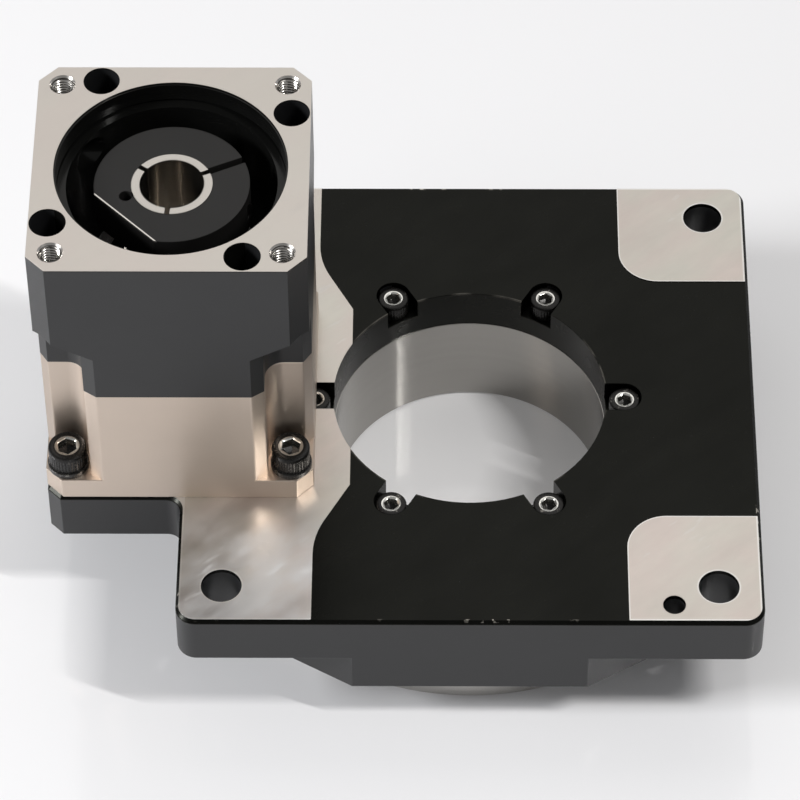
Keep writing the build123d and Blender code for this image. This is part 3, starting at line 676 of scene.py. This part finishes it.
class Finishes:
    """Every finish of the actuator, built once."""

    def __init__(self, axis_x: float, flange_top: float, plate_top: float, collar_top: float) -> None:
        """Builds the materials.

        Args:
            axis_x: X of the gearbox axis, in metres.
            flange_top: Height of the motor flange, in metres.
            plate_top: Height of the bright pads, in metres.
            collar_top: Height of the clamp collar, in metres.
        """
        gearbox = (axis_x, 0.0)
        self.housing = PlateAnodised("anodised_plate", plate_top - 0.1 * MM, plate_top - 1.1 * MM,
                                     39.0 * MM).material()
        self.adapter = BlackAnodised("anodised_adapter", flange_top - 0.08 * MM, flange_top - 0.4 * MM,
                                     27.5 * MM, gearbox, bright_colour=(0.75, 0.7, 0.65),
                                     skin=(0.012, 0.0122, 0.0115), skin_roughness=0.16,
                                     smears=0.3, skin_metallic=0.55).material()
        self.nickel = SatinNickel().material()
        self.sleeve = Turned("turned_sleeve", (0.37, 0.358, 0.338), 0.14, 1.0, lines=5000.0,
                             unevenness=0.03).material()
        self.table = Turned("turned_table", (0.52, 0.505, 0.48), 0.27, 0.6).material()
        self.collet = Turned("turned_collet", (0.6, 0.57, 0.53), 0.18, 0.3, gearbox, 4500.0,
                             relief=0.03 * MM).material()
        self.gear = GroundSteel("gear_steel").material()
        self.race = GroundSteel("bearing_steel", (0.52, 0.51, 0.50), 0.16).material()
        self.screw = BlackOxide("black_oxide").material()
        self.socket = GroundSteel("bare_socket", (0.97, 0.96, 0.91), 0.24).material()
        self.washer = BlackOxide("black_spring", (0.03, 0.029, 0.028), wear=0.6).material()
        self.spring = GroundSteel("spring_steel", (0.30, 0.29, 0.28), 0.3).material()
        self.thread = GroundSteel("cut_thread", (0.80, 0.77, 0.73), 0.2).material()
        # Painted shade: the thread grooves get this dark colour in place of the shade in the thread's
        # roots.
        self.groove = GroundSteel("thread_groove", (0.17, 0.16, 0.15), 0.35).material()
        self.collar = CollarFinish("collar_black", collar_top, gearbox, 225.0, 14.1 * MM).material()
        self.rubber = Moulded("nitrile_rubber").material()
        self.plastic = Moulded("plug_plastic", (0.02, 0.02, 0.02), 0.42, 1600.0).material()


def link(name: str, data: Mesh | Light | Camera) -> Object:
    """Puts a mesh, a lamp or a camera in the scene.

    Args:
        name: Name of the object and its data.
        data: What it holds.

    Returns:
        The new object.
    """
    data.name = name
    made = bpy.data.objects.new(name, data)
    bpy.context.scene.collection.objects.link(made)
    return made


def baked(obj: Object) -> Object:
    """Turns an object's modifiers into a plain mesh.

    Args:
        obj: Object with live modifiers.

    Returns:
        The same object, with the result as its mesh and no modifier.
    """
    graph = bpy.context.evaluated_depsgraph_get()
    mesh = bpy.data.meshes.new_from_object(obj.evaluated_get(graph), depsgraph=graph,
                                           preserve_all_data_layers=True)
    obj.modifiers.clear()
    obj.data = mesh
    mesh.name = obj.name
    return obj


def smooth(obj: Object, angle: float | None = SHARP) -> Object:
    """Shades a mesh smoothly, with large faces kept flat and sharp edges kept sharp.

    Args:
        obj: The object.
        angle: Angle over which an edge is sharp, in degrees; None keeps the marks it has.

    Returns:
        The same object.
    """
    obj.data.shade_smooth()
    if angle is not None:
        obj.data.set_sharp_from_angle(angle=math.radians(angle))
    weighted = obj.modifiers.new("weighted", "WEIGHTED_NORMAL")
    weighted.keep_sharp = True
    weighted.weight = FLAT_FACE_WEIGHT
    whole = obj.modifiers.new("triangles", "TRIANGULATE")
    whole.min_vertices = 5
    whole.keep_custom_normals = True
    return baked(obj)


def dress(obj: Object, material: Material | None, body: Body, slot: Slot, *nodes: str) -> None:
    """Gives a finished piece its material, its body and the nodes that it stands for.

    Args:
        obj: The piece.
        material: Its finish; None keeps the materials of its mesh.
        body: The body that it rides on.
        slot: The record's material slot; not used.
        nodes: CAD nodes that it replaces.
    """
    if material is not None:
        obj.data.materials.clear()
        obj.data.materials.append(material)
    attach(obj, body.value)
    if nodes:
        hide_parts(*nodes)
    log.info("%s rides on %s, %d faces", obj.name, body.value, len(obj.data.polygons))


def dress_nodes(material: Material, slot: Slot, *nodes: str) -> None:
    """Gives CAD nodes that stay a finish.

    Args:
        material: The finish.
        slot: The record's material slot; not used.
        nodes: Names of the nodes.
    """
    for node in nodes:
        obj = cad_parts[node]
        obj.data.materials.clear()
        obj.data.materials.append(material)
        log.info("%s keeps its solid", node)


@dataclass
class EdgeRounding:
    """How the edges of a copied solid are rounded."""

    width: float
    segments: int = 2
    profile: float = 0.7
    sharp_angle: float = 25.0
    room: float = 2.4
    keep: Callable[[Vector], bool] | None = None

    def apply(self, bm: bmesh.types.BMesh) -> int:
        """Rounds the outer edges that have room for it, and marks what stays sharp.

        Args:
            bm: The mesh, merged and with its flat faces whole.

        Returns:
            The number of edges that were rounded.
        """
        chosen = []
        for edge in bm.edges:
            if len(edge.link_faces) != 2 or not edge.is_convex:
                continue
            if edge.calc_face_angle(0.0) < math.radians(self.sharp_angle):
                continue
            length = edge.calc_length()
            smallest = min(face.calc_area() for face in edge.link_faces)
            if length < TOUCHING or smallest / length < self.room * self.width:
                continue
            middle = (edge.verts[0].co + edge.verts[1].co) / 2
            if self.keep and not self.keep(middle):
                continue
            chosen.append(edge)
        made = bmesh.ops.bevel(bm, geom=chosen, offset=self.width, offset_type="OFFSET",
                               segments=self.segments, profile=self.profile, affect="EDGES",
                               clamp_overlap=False, loop_slide=True, miter_outer="ARC")
        strips = set(made["faces"])
        for edge in bm.edges:
            sides = [face in strips for face in edge.link_faces]
            border = any(sides) and not all(sides)
            edge.smooth = not border and edge.calc_face_angle(0.0) < math.radians(SHARP)
        return len(chosen)


def copied_solid(name: str, node: str, rounding: EdgeRounding, drill: Sequence[Object] = (),
                 raised: tuple[float, float] | None = None) -> Object:
    """Piece with a CAD node's shape and rounded edges.

    Args:
        name: Name of the piece.
        node: CAD node to copy.
        rounding: How its edges are rounded.
        drill: Closed objects to take out of it first; they are removed.
        raised: Height of a level face that needs room under it, and how far it goes up.

    Returns:
        The piece.
    """
    bm = bmesh.new()
    bm.from_mesh(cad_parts[node].data)
    bmesh.ops.remove_doubles(bm, verts=bm.verts, dist=2 * TOUCHING)
    if raised:
        for vert in bm.verts:
            if abs(vert.co.z - raised[0]) < TOUCHING:
                vert.co.z += raised[1]
    obj = link(name, bpy.data.meshes.new(name))
    if drill:
        bm.to_mesh(obj.data)
        for cutter in drill:
            cut = obj.modifiers.new("cut", "BOOLEAN")
            cut.operation = "DIFFERENCE"
            cut.solver = "EXACT"
            cut.object = cutter
        baked(obj)
        for cutter in drill:
            bpy.data.objects.remove(cutter)
        bm.clear()
        bm.from_mesh(obj.data)
    bmesh.ops.dissolve_degenerate(bm, dist=TOUCHING, edges=bm.edges)
    bmesh.ops.dissolve_limit(bm, angle_limit=math.radians(FLAT), verts=bm.verts, edges=bm.edges)
    rounded = rounding.apply(bm)
    bm.to_mesh(obj.data)
    bm.free()
    log.info("%s has %d rounded edges", name, rounded)
    return smooth(obj, None)


def mesh_of(bm: bmesh.types.BMesh) -> Mesh:
    """Turns a finished BMesh into a mesh.

    Args:
        bm: The BMesh, which is freed.

    Returns:
        The mesh, which gets its name from the object that it is linked with.
    """
    mesh = bpy.data.meshes.new("unnamed")
    bm.to_mesh(mesh)
    bm.free()
    return mesh


def ring_points(sides: int, height: float, radius: float | Callable[[float], float]) -> list[Vector]:
    """Points round the upright axis.

    Args:
        sides: Number of points.
        height: Their height, in millimetres.
        radius: Their radius in millimetres, or a function that gives it for an angle.

    Returns:
        The points, in metres.
    """
    points = []
    for i in range(sides):
        angle = FULL_TURN * i / sides
        r = radius(angle) if callable(radius) else radius
        points.append(Vector((r * math.cos(angle), r * math.sin(angle), height)) * MM)
    return points


def lathe(rings: Sequence[Sequence[Vector]], close_ends: tuple[bool, bool]) -> Mesh:
    """Mesh through rings of points that all have the same count.

    Args:
        rings: The rings, one after the other.
        close_ends: Whether the first and last ring get a face.

    Returns:
        The mesh, with its faces outwards.
    """
    bm = bmesh.new()
    rows = [[bm.verts.new(point) for point in ring] for ring in rings]
    count = len(rows[0])
    for low, high in zip(rows, rows[1:]):
        for i in range(count):
            j = (i + 1) % count
            bm.faces.new((low[i], low[j], high[j], high[i]))
    if close_ends[0]:
        bm.faces.new(list(reversed(rows[0])))
    if close_ends[1]:
        bm.faces.new(rows[-1])
    if all(close_ends):
        bmesh.ops.recalc_face_normals(bm, faces=bm.faces)
    return mesh_of(bm)


def with_bright_faces(parts: Sequence[Mesh], is_bright: Callable[[Vector], bool]) -> Mesh:
    """Joins meshes and marks the faces where their metal is bright.

    Args:
        parts: The meshes.
        is_bright: Test of a face's middle, in metres.

    Returns:
        The mesh; the mark is its "bright" face attribute.
    """
    bm = bmesh.new()
    for part in parts:
        bm.from_mesh(part)
    mark = bm.faces.layers.int.new("bright")
    for face in bm.faces:
        face[mark] = int(is_bright(face.calc_center_median()))
    return mesh_of(bm)


@dataclass
class SocketScrew:
    """Socket head screw with a knurled head, drawn with its head's seat at height 0."""

    thread: float
    head_radius: float
    head_height: float
    hexagon: float
    length: float
    flutes: int = 32
    knurl: float = 0.11
    plain_share: float = 0.24
    chamfer_share: float = 0.09
    socket_share: float = 0.5
    bare_rim: float = 0.34
    shank_sides: int = 16
    pitch: float = 0.7
    crest: float = 0.05
    root: float = 0.28
    tip: float = 0.5

    def mesh(self) -> Mesh:
        """Builds the head with its socket, and the threaded shank.

        Returns:
            The mesh; its faces carry a "bright" mark where the metal is bare.
        """
        count = self.flutes * 3
        radius, top = self.head_radius, self.head_height
        apothem = self.hexagon / 2

        def fluted(angle: float) -> float:
            """Radius of the knurl at an angle, with a groove at every third point."""
            return radius - (0.0 if round(angle * count / FULL_TURN) % 3 else self.knurl)

        def hexagonal(angle: float) -> float:
            """Radius of the socket at an angle."""
            return apothem / math.cos((angle + math.pi / 6) % (math.pi / 3) - math.pi / 6)

        rim = 1.06 * apothem / math.cos(math.pi / 6)
        shoulder = top - self.plain_share * top
        chamfer = self.chamfer_share * top
        floor = top - self.socket_share * top
        profile = [
            (self.thread / 2 + 0.3, 0.0),
            (radius - 0.25, 0.0),
            (radius - 0.02, 0.18),
            (fluted, 0.24),
            (fluted, shoulder - 0.05),
            (radius, shoulder),
            (radius, top - chamfer),
            (radius - chamfer / 3, top - chamfer / 3),
            (radius - chamfer, top),
            (rim + self.bare_rim, top),
            (rim, top - 0.06),
            (hexagonal, top - 0.24),
            (hexagonal, floor),
            (lambda angle: 0.55 * hexagonal(angle), floor - 0.28 * apothem),
            (lambda angle: 0.04 * hexagonal(angle), floor - 0.5 * apothem),
        ]
        head = lathe([ring_points(count, height, r) for r, height in profile], (True, True))
        reach = (rim + self.bare_rim) * MM
        return with_bright_faces((head, self._shank()), lambda middle: (
            middle.xy.length < reach and middle.z > (floor - 0.05) * MM))

    def _shank(self) -> Mesh:
        """Builds the shank with its thread.

        Returns:
            The mesh.
        """
        rings = []
        for step in range(2 * int(self.length / self.pitch) + 1):
            height = min(-self.length + self.tip + step * self.pitch / 2, -0.01)
            radius = self.thread / 2 - (self.crest if step % 2 else self.root)
            rings.append(ring_points(self.shank_sides, height, radius))
        return lathe(rings, (True, True))


@dataclass
class TappedHole:
    """Liner of a tapped hole: a countersink, then a helical thread, its mouth at height 0."""

    thread: float
    minor: float
    mouth: float
    depth: float
    pitch: float = 0.8
    sides: int = 36
    rows_per_turn: int = 6
    land: float = 0.05
    flank: float = 1.5
    flat_root: float = 0.25
    bright_share: float = 0.4
    tip: float = 0.5

    def mesh(self) -> Mesh:
        """Builds the liner, open at its mouth and closed at its floor.

        Returns:
            The mesh, facing the hole's axis; its "bright" mark leaves out the thread's grooves.
        """
        major = self.thread / 2
        minor = self.minor / 2
        sink = self.mouth / 2 - major + self.land
        rows = int((self.depth - sink) / self.pitch * self.rows_per_turn)
        rings = [self._ring(0.0, self.mouth / 2), self._ring(-sink, major)]
        for row in range(rows):
            down = sink + row * self.pitch / self.rows_per_turn
            fade = min(1.0, (row + 1) / self.rows_per_turn)

            def radius_at(angle: float, down: float = down, fade: float = fade) -> float:
                """Radius of the thread on one row.

                Args:
                    angle: Angle about the hole's axis.
                    down: Depth of the row, in millimetres.
                    fade: Share of the thread's height at the row.

                Returns:
                    The radius, in millimetres.
                """
                phase = (down / self.pitch + angle / FULL_TURN) % 1.0
                ridge = 1.0 - abs(2.0 * phase - 1.0)
                ridge = min(1.0, max(0.0, ridge * self.flank - self.flat_root))
                return major - fade * ridge * (major - minor)

            rings.append(self._ring(-down, radius_at))
        rings.append(self._ring(-self.depth, minor * 0.98))
        rings.append(self._ring(-self.depth - self.tip, minor * 0.02))
        groove = ((1.0 - self.bright_share) * major + self.bright_share * minor) * MM
        return with_bright_faces((lathe(rings, (False, True)),), lambda middle: (
            middle.z > -sink * MM or middle.xy.length < groove))

    def _ring(self, height: float, radius: float | Callable[[float], float]) -> list[Vector]:
        """One ring of points, at a height in millimetres."""
        return ring_points(self.sides, height, radius)

    def cutter(self, place: Vector, up: float = 1.0) -> Object:
        """Closed cylinder that opens the solid for the liner.

        Args:
            place: The mouth's middle, in metres.
            up: 1 where the mouth looks up, -1 where it looks down.

        Returns:
            The cylinder, at its place.
        """
        ends = (self.tip, -self.depth - self.tip - 0.1)
        rings = [self._ring(height, self.mouth / 2) for height in ends]
        mesh = lathe(rings, (True, True))
        mesh.transform(Matrix.Translation(place) @ Matrix.Diagonal((1, up, up, 1)))
        return link("cutter", mesh)


class RingTree(NodeTree):
    """Geometry Nodes tree that sets copies of one mesh round an upright axis."""

    INPUTS = {
        "Source": "NodeSocketObject",
        "Count": "NodeSocketInt",
        "Radius": "NodeSocketFloat",
        "First Angle": "NodeSocketFloat",
        "Centre": "NodeSocketVector",
        "Random Turn": "NodeSocketFloat",
        "Seed": "NodeSocketInt",
        "Finish": "NodeSocketMaterial",
        "Bright Finish": "NodeSocketMaterial",
    }

    def __init__(self) -> None:
        """Builds the tree."""
        super().__init__(bpy.data.node_groups.new("ring_of_copies", "GeometryNodeTree"))
        self.sockets = {}
        for name, kind in self.INPUTS.items():
            made = self.tree.interface.new_socket(name=name, in_out="INPUT", socket_type=kind)
            self.sockets[name] = made.identifier
        self.tree.interface.new_socket(name="Geometry", in_out="OUTPUT", socket_type="NodeSocketGeometry")
        self._build()

    def _build(self) -> None:
        """Fills the tree: circle, copies on it, realised, with their finishes."""
        group = self.tree.nodes.new("NodeGroupInput")
        given = {name: Signal(self, group.outputs[name]) for name in self.INPUTS}
        share = self.node("GeometryNodeInputIndex") / given["Count"]
        turn = share.math("MULTIPLY_ADD", share, FULL_TURN, given["First Angle"])
        chance = self.node("FunctionNodeRandomValue", {"data_type": "FLOAT"},
                           {2: given["Random Turn"] * -1.0, 3: given["Random Turn"],
                            "Seed": given["Seed"]}, 1)
        spin = self.vector(0.0, 0.0, turn + chance)
        out = self.vector(turn.math("COSINE", turn), turn.math("SINE", turn), 0.0).scaled(given["Radius"])
        where = self.node("ShaderNodeVectorMath", {"operation": "ADD"}, {0: out, 1: given["Centre"]})
        points = self.node("GeometryNodePoints", None, {"Count": given["Count"], "Position": where})
        source = self.node("GeometryNodeObjectInfo", None, {"Object": given["Source"]}, "Geometry")
        copies = self.node("GeometryNodeInstanceOnPoints", None,
                           {"Points": points, "Instance": source, "Rotation": spin})
        whole = self.node("GeometryNodeRealizeInstances", None, {0: copies})
        plain = self.node("GeometryNodeSetMaterial", None,
                          {"Geometry": whole, "Material": given["Finish"]})
        mark = self.node("GeometryNodeInputNamedAttribute", {"data_type": "INT"}, {"Name": "bright"})
        done = self.node("GeometryNodeSetMaterial", None,
                         {"Geometry": plain, "Selection": mark, "Material": given["Bright Finish"]})
        self.tree.links.new(done.socket, self.tree.nodes.new("NodeGroupOutput").inputs[0])

    def ring(self, name: str, source: Mesh, **values: object) -> Object:
        """Makes one ring of copies.

        Args:
            name: Name of the piece.
            source: Mesh to copy.
            values: The tree's inputs, with _ for each space.

        Returns:
            The piece, as a plain mesh at its place.
        """
        pattern = link(f"{name}_source", source)
        host = link(name, bpy.data.meshes.new(name))
        modifier = host.modifiers.new("ring", "NODES")
        modifier.node_group = self.tree
        modifier[self.sockets["Source"]] = pattern
        for key, value in values.items():
            modifier[self.sockets[key.replace("_", " ")]] = value
        baked(host)
        bpy.data.objects.remove(pattern)
        return host


@dataclass
class SubAssembly:
    """Pieces that are built and dressed together."""

    finishes: Finishes
    rings: RingTree

    def copy(self, name: str, node: str, rounding: float, finish: Material, body: Body, slot: Slot,
             keep: Callable[[Vector], bool] | None = None, **changes: object) -> None:
        """Adds a dressed copy of a CAD node, its edges rounded in millimetres where keep lets them."""
        edges = EdgeRounding(rounding * MM, keep=keep)
        dress(copied_solid(name, node, edges, **changes), finish, body, slot, node)

    def screws(self, name: str, node: str, screw: SocketScrew, bright: Material, **values: object) -> None:
        """Adds a dressed ring of screws on the housing.

        Args:
            name: Name of the piece.
            node: CAD node that it stands for.
            screw: The screw.
            bright: Finish of its socket.
            values: Inputs of the ring's tree.
        """
        ring = self.rings.ring(name, screw.mesh(), Finish=self.finishes.screw, Bright_Finish=bright,
                               **values)
        dress(smooth(ring, SCREW_SHARP), None, Body.HOUSING, Slot.SCREW, node)

    def threads(self, name: str, liner: Mesh, body: Body, **values: object) -> None:
        """Adds a dressed ring of thread liners.

        Args:
            name: Name of the piece.
            liner: Mesh of one liner.
            body: The body that it rides on.
            values: Inputs of the ring's tree.
        """
        # Painted shade: the grooves take the dark groove finish, the crests the bright thread finish.
        ring = self.rings.ring(name, liner, Finish=self.finishes.groove,
                               Bright_Finish=self.finishes.thread, Random_Turn=0.0, Seed=1, **values)
        dress(smooth(ring), None, body, Slot.ALUMINIUM)


@dataclass
class Housing(SubAssembly):
    """Plate with its lower body, the hollow bore's sleeve and the screws in its slots."""

    screw_circle: float = 35.4
    screw_seat: float = 30.8

    def build(self) -> None:
        """Builds and dresses the pieces of the housing body round the bore."""
        looks = self.finishes
        self.copy("housing_plate", "housing", 0.16, looks.housing, Body.HOUSING, Slot.ANODISED)
        self.copy("bore_sleeve", "hub_ring", 0.25, looks.sleeve, Body.HOUSING, Slot.STEEL)
        self.screws("bore_screws", "hub_screws", SocketScrew(4.0, 3.5, 4.0, 3.0, 12.0, flutes=30),
                    looks.socket, Count=6, Radius=self.screw_circle * MM, First_Angle=0.0,
                    Centre=(0.0, 0.0, self.screw_seat * MM), Random_Turn=0.5, Seed=11)
        dress_nodes(looks.race, Slot.STEEL, "hub_lock_ring")
        dress_nodes(looks.race, Slot.GEAR, "bearing_inner_ring")
        dress_nodes(looks.rubber, Slot.RUBBER, "table_seal")


@dataclass
class Turntable(SubAssembly):
    """Turning table with its threads, gear, outer bearing rings and rollers."""

    thread_circle: float = 52.0
    thread_count: int = 8

    def build(self) -> None:
        """Builds and dresses the pieces of the table and roller bodies."""
        looks = self.finishes
        hole = TappedHole(5.0, 4.2, 5.6, 8.6)
        cutters = []
        for i in range(self.thread_count):
            angle = FULL_TURN * i / self.thread_count
            place = Vector((math.cos(angle), math.sin(angle), 0.0)) * self.thread_circle * MM
            cutters.append(hole.cutter(place, -1.0))
        self.copy("table_disc", "turntable", 0.2, looks.table, Body.TABLE, Slot.ALUMINIUM, drill=cutters)
        liner = hole.mesh()
        liner.transform(Matrix.Diagonal((1, -1, -1, 1)))
        self.threads("table_threads", liner, Body.TABLE, Count=self.thread_count,
                     Radius=self.thread_circle * MM, First_Angle=0.0, Centre=(0.0, 0.0, 0.0))
        dress_nodes(looks.gear, Slot.GEAR, "table_gear")
        dress_nodes(looks.screw, Slot.SCREW, "table_gear_screws")
        dress_nodes(looks.race, Slot.GEAR, "bearing_outer_ring_lower", "bearing_outer_ring_upper",
                    "crossed_rollers")


@dataclass
class Gearbox(SubAssembly):
    """Nickel gearbox body with its corner screws, and the stage inside it."""

    axis_x: float
    corner_at: float = 25.0
    screw_seat: float = 43.1

    def build(self) -> None:
        """Builds and dresses the gearbox's pieces."""
        looks = self.finishes
        self.copy("gearbox_case", "gearbox_body", 0.3, looks.nickel, Body.HOUSING, Slot.NICKEL)
        screw = SocketScrew(5.0, 4.25, 5.0, 4.0, 16.0, flutes=36, knurl=0.13)
        self.screws("corner_screws", "gearbox_screws", screw, looks.socket, Count=4,
                    Radius=self.corner_at * math.sqrt(2) * MM, First_Angle=math.pi / 4,
                    Centre=(self.axis_x, 0.0, self.screw_seat * MM), Random_Turn=0.6, Seed=4)
        self.copy("corner_washers", "gearbox_washers", 0.15, looks.washer, Body.HOUSING, Slot.SPRING)
        dress_nodes(looks.gear, Slot.GEAR, "planet_ring_gear", "planet_gear_1", "planet_gear_2",
                    "planet_gear_3", "sun_gear", "pinion", "planet_carrier", "carrier_cover",
                    "pinion_key")
        dress_nodes(looks.race, Slot.GEAR, "planet_pins", "output_bearing_outer",
                    "output_bearing_inner", "output_bearing_balls", "input_bearing_outer",
                    "input_bearing_inner", "input_bearing_balls")
        dress_nodes(looks.screw, Slot.SCREW, "pinion_screw")
        dress_nodes(looks.rubber, Slot.RUBBER, "output_seal", "input_seal")
        dress_nodes(looks.spring, Slot.SPRING, "input_circlip")


@dataclass
class MotorMount(SubAssembly):
    """Black adapter block with its threads and screws, and the clamp for the motor shaft."""

    axis_x: float
    top: float
    thread_at: float = 70.0 / 2 / math.sqrt(2)
    screw_plan: tuple[float, float] = (25.8, 16.2)
    screw_seat: float = 85.5
    pilot_clear: float = 28.5
    tool_hole_clear: float = 4.2
    shoulder_gap: float = 0.2

    def _away_from_holes(self, point: Vector) -> bool:
        """Tells whether a point is clear of the pilot bore and of the tool holes' thin walls.

        Args:
            point: A place in the block, in metres.

        Returns:
            Whether an edge there is rounded.
        """
        if math.hypot(point.x - self.axis_x, point.y) < self.pilot_clear * MM:
            return False
        x, y = self.screw_plan
        return all(math.hypot(point.x - self.axis_x - across * MM, point.y - along * MM)
                   >= self.tool_hole_clear * MM
                   for across, along in ((x, y), (-y, x), (-x, -y), (y, -x)))

    def build(self) -> None:
        """Builds and dresses the pieces of the motor end."""
        looks = self.finishes
        hole = TappedHole(5.0, 4.2, 5.7, 14.0)
        cutters = []
        for sx, sy in ((1, 1), (-1, 1), (-1, -1), (1, -1)):
            at = self.thread_at * MM
            cutters.append(hole.cutter(Vector((self.axis_x + sx * at, sy * at, self.top))))
        self.copy("adapter_case", "adapter_block", 0.05, looks.adapter, Body.HOUSING, Slot.ANODISED,
                  drill=cutters, keep=self._away_from_holes)
        self.threads("motor_threads", hole.mesh(), Body.HOUSING, Count=4,
                     Radius=self.thread_at * math.sqrt(2) * MM, First_Angle=math.pi / 4,
                     Centre=(self.axis_x, 0.0, self.top))
        screw = SocketScrew(4.0, 3.5, 4.0, 3.0, 25.0, flutes=30)
        self.screws("adapter_case_screws", "adapter_screws", screw, looks.screw, Count=4,
                    Radius=math.hypot(*self.screw_plan) * MM,
                    First_Angle=math.atan2(self.screw_plan[1], self.screw_plan[0]),
                    Centre=(self.axis_x, 0.0, self.screw_seat * MM), Random_Turn=0.4, Seed=7)
        self.copy("tool_hole_plug", "access_plug", 0.3, looks.plastic, Body.HOUSING, Slot.PLASTIC)
        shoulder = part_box("planet_gear_1")[1].z
        self.copy("collet_shaft", "input_shaft", 0.2, looks.collet, Body.INPUT, Slot.STEEL,
                  raised=(shoulder, self.shoulder_gap * MM))
        self.copy("shaft_collar", "clamp_collar", 0.28, looks.collar, Body.INPUT, Slot.COLLAR)
        dress_nodes(looks.screw, Slot.SCREW, "clamp_screw")


@dataclass
class AreaLamp:
    """Rectangular lamp, with the level that it gives on a floor at its target, in metres."""

    name: str
    place: tuple[float, float, float]
    width: float
    height: float
    level: float
    colour: Colour = (1.0, 1.0, 1.0)
    target: tuple[float, float, float] = (0.0, 0.0, 0.03)

    def build(self) -> None:
        """Puts the lamp in the scene, turned to its target."""
        data = bpy.data.lights.new(self.name, "AREA")
        lamp = link(self.name, data)
        data.shape = "RECTANGLE"
        data.size = self.width
        data.size_y = self.height
        data.color = self.colour
        away = Vector(self.place) - Vector(self.target)
        slope = away.normalized().z
        data.energy = self.level * math.pi ** 2 * away.length_squared / slope
        lamp.location = self.place
        lamp.rotation_mode = "QUATERNION"
        lamp.rotation_quaternion = away.to_track_quat("Z", "Y")


@dataclass
class Studio:
    """Floor, lamps, world and the camera of the photograph."""

    lens: float = 208.27
    place: tuple[float, float, float] = (-5.70, -680.99, 845.54)
    pitch: float = 49.982
    yaw: float = -0.86
    roll: float = -0.533
    world_level: float = 0.225
    floor_radius: float = 2.6
    floor_inner: float = 0.4
    floor_sides: int = 96
    curve: float = 0.6
    curve_steps: int = 12
    table_overlap: float = 2.0
    bore_floor: float = 32.5
    bore_painted_light: float = 0.1
    wall_height: float = 1.1
    lamps: list[AreaLamp] = field(default_factory=lambda: [
        AreaLamp("right_lamp", (0.79, -0.37, 1.33), 0.033, 0.42, 0.33, (1.0, 0.985, 0.965)),
        AreaLamp("left_lamp", (-1.25, -0.28, 0.72), 0.3, 0.3, 0.36, (0.985, 0.99, 1.0)),
        AreaLamp("back_lamp", (0.08, 0.86, 1.34), 1.6, 1.0, 0.13, (1.0, 0.98, 0.955)),
        AreaLamp("fill_lamp", (-1.25, -0.75, 0.5), 0.7, 0.5, 0.03, (0.985, 0.99, 1.0)),
    ])

    def build(self) -> None:
        """Builds the studio."""
        scene = bpy.context.scene
        scene.view_settings.view_transform = "Standard"
        world = bpy.data.worlds.new("soft_room")
        world.use_nodes = True
        background = world.node_tree.nodes["Background"]
        background.inputs["Color"].default_value = (1.0, 1.0, 1.0, 1.0)
        background.inputs["Strength"].default_value = self.world_level
        scene.world = world
        for lamp in self.lamps:
            lamp.build()
        self._floor()
        self._camera()

    def _floor(self) -> None:
        """Adds the floor, which curves up into a low wall all round.

        It is left out under the table's face, so that the face is lit in views from below.
        """
        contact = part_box("turntable")[1].x - self.table_overlap * MM
        profile = [(contact, 0.0), (self.floor_inner, 0.0), (self.floor_radius, 0.0)]
        for step in range(1, self.curve_steps + 1):
            turn = math.pi / 2 * step / self.curve_steps
            profile.append((self.floor_radius + self.curve * math.sin(turn),
                            self.curve * (1 - math.cos(turn))))
        profile.append((self.floor_radius + self.curve, self.wall_height))
        self._board("studio_floor", profile, PaleFloor().material())
        # Painted light: the board under the bore glows, though it is no lamp, to brighten the floor seen
        # through the bore.
        under_bore = PaleFloor("bore_floor", glow=self.bore_painted_light).material()
        self._board("bore_floor", [(0.0005, 0.0), (self.bore_floor * MM, 0.0)], under_bore)

    def _board(self, name: str, profile: Sequence[tuple[float, float]], material: Material) -> None:
        """Adds one round piece of the floor.

        Args:
            name: Name of the piece.
            profile: Radius and height of its rings, from the middle out, in metres.
            material: Its finish.
        """
        rings = [ring_points(self.floor_sides, height / MM, radius / MM) for radius, height in profile]
        board = link(name, lathe(rings, (profile[0][0] < MM, False)))
        board.data.flip_normals()
        board.data.shade_smooth()
        board.data.materials.append(material)

    def _camera(self) -> None:
        """Adds the camera that was fitted to the photograph."""
        data = bpy.data.cameras.new("photo_camera")
        data.lens = self.lens
        data.sensor_width = 36.0
        data.clip_start = 0.05
        data.clip_end = 20.0
        camera = link("photo_camera", data)
        camera.location = Vector(self.place) * MM
        turn = Matrix.Rotation(math.radians(-self.yaw), 4, "Z")
        tilt = Matrix.Rotation(math.radians(90.0 - self.pitch), 4, "X")
        spin = Matrix.Rotation(math.radians(self.roll), 4, "Z")
        camera.rotation_euler = (turn @ tilt @ spin).to_euler()
        bpy.context.scene.camera = camera


def main() -> None:
    """Builds the studio and every sub-assembly in order."""
    logging.basicConfig(level=logging.INFO, format="%(name)s: %(message)s")
    block_low, block_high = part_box("adapter_block")
    axis_x = (block_low.x + block_high.x) / 2
    plate_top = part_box("housing")[1].z
    collar_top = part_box("clamp_collar")[1].z
    finishes = Finishes(axis_x, block_high.z, plate_top, collar_top)
    rings = RingTree()
    Studio().build()
    Housing(finishes, rings).build()
    Turntable(finishes, rings).build()
    Gearbox(finishes, rings, axis_x).build()
    MotorMount(finishes, rings, axis_x, block_high.z).build()


if __name__ == "__main__":
    main()
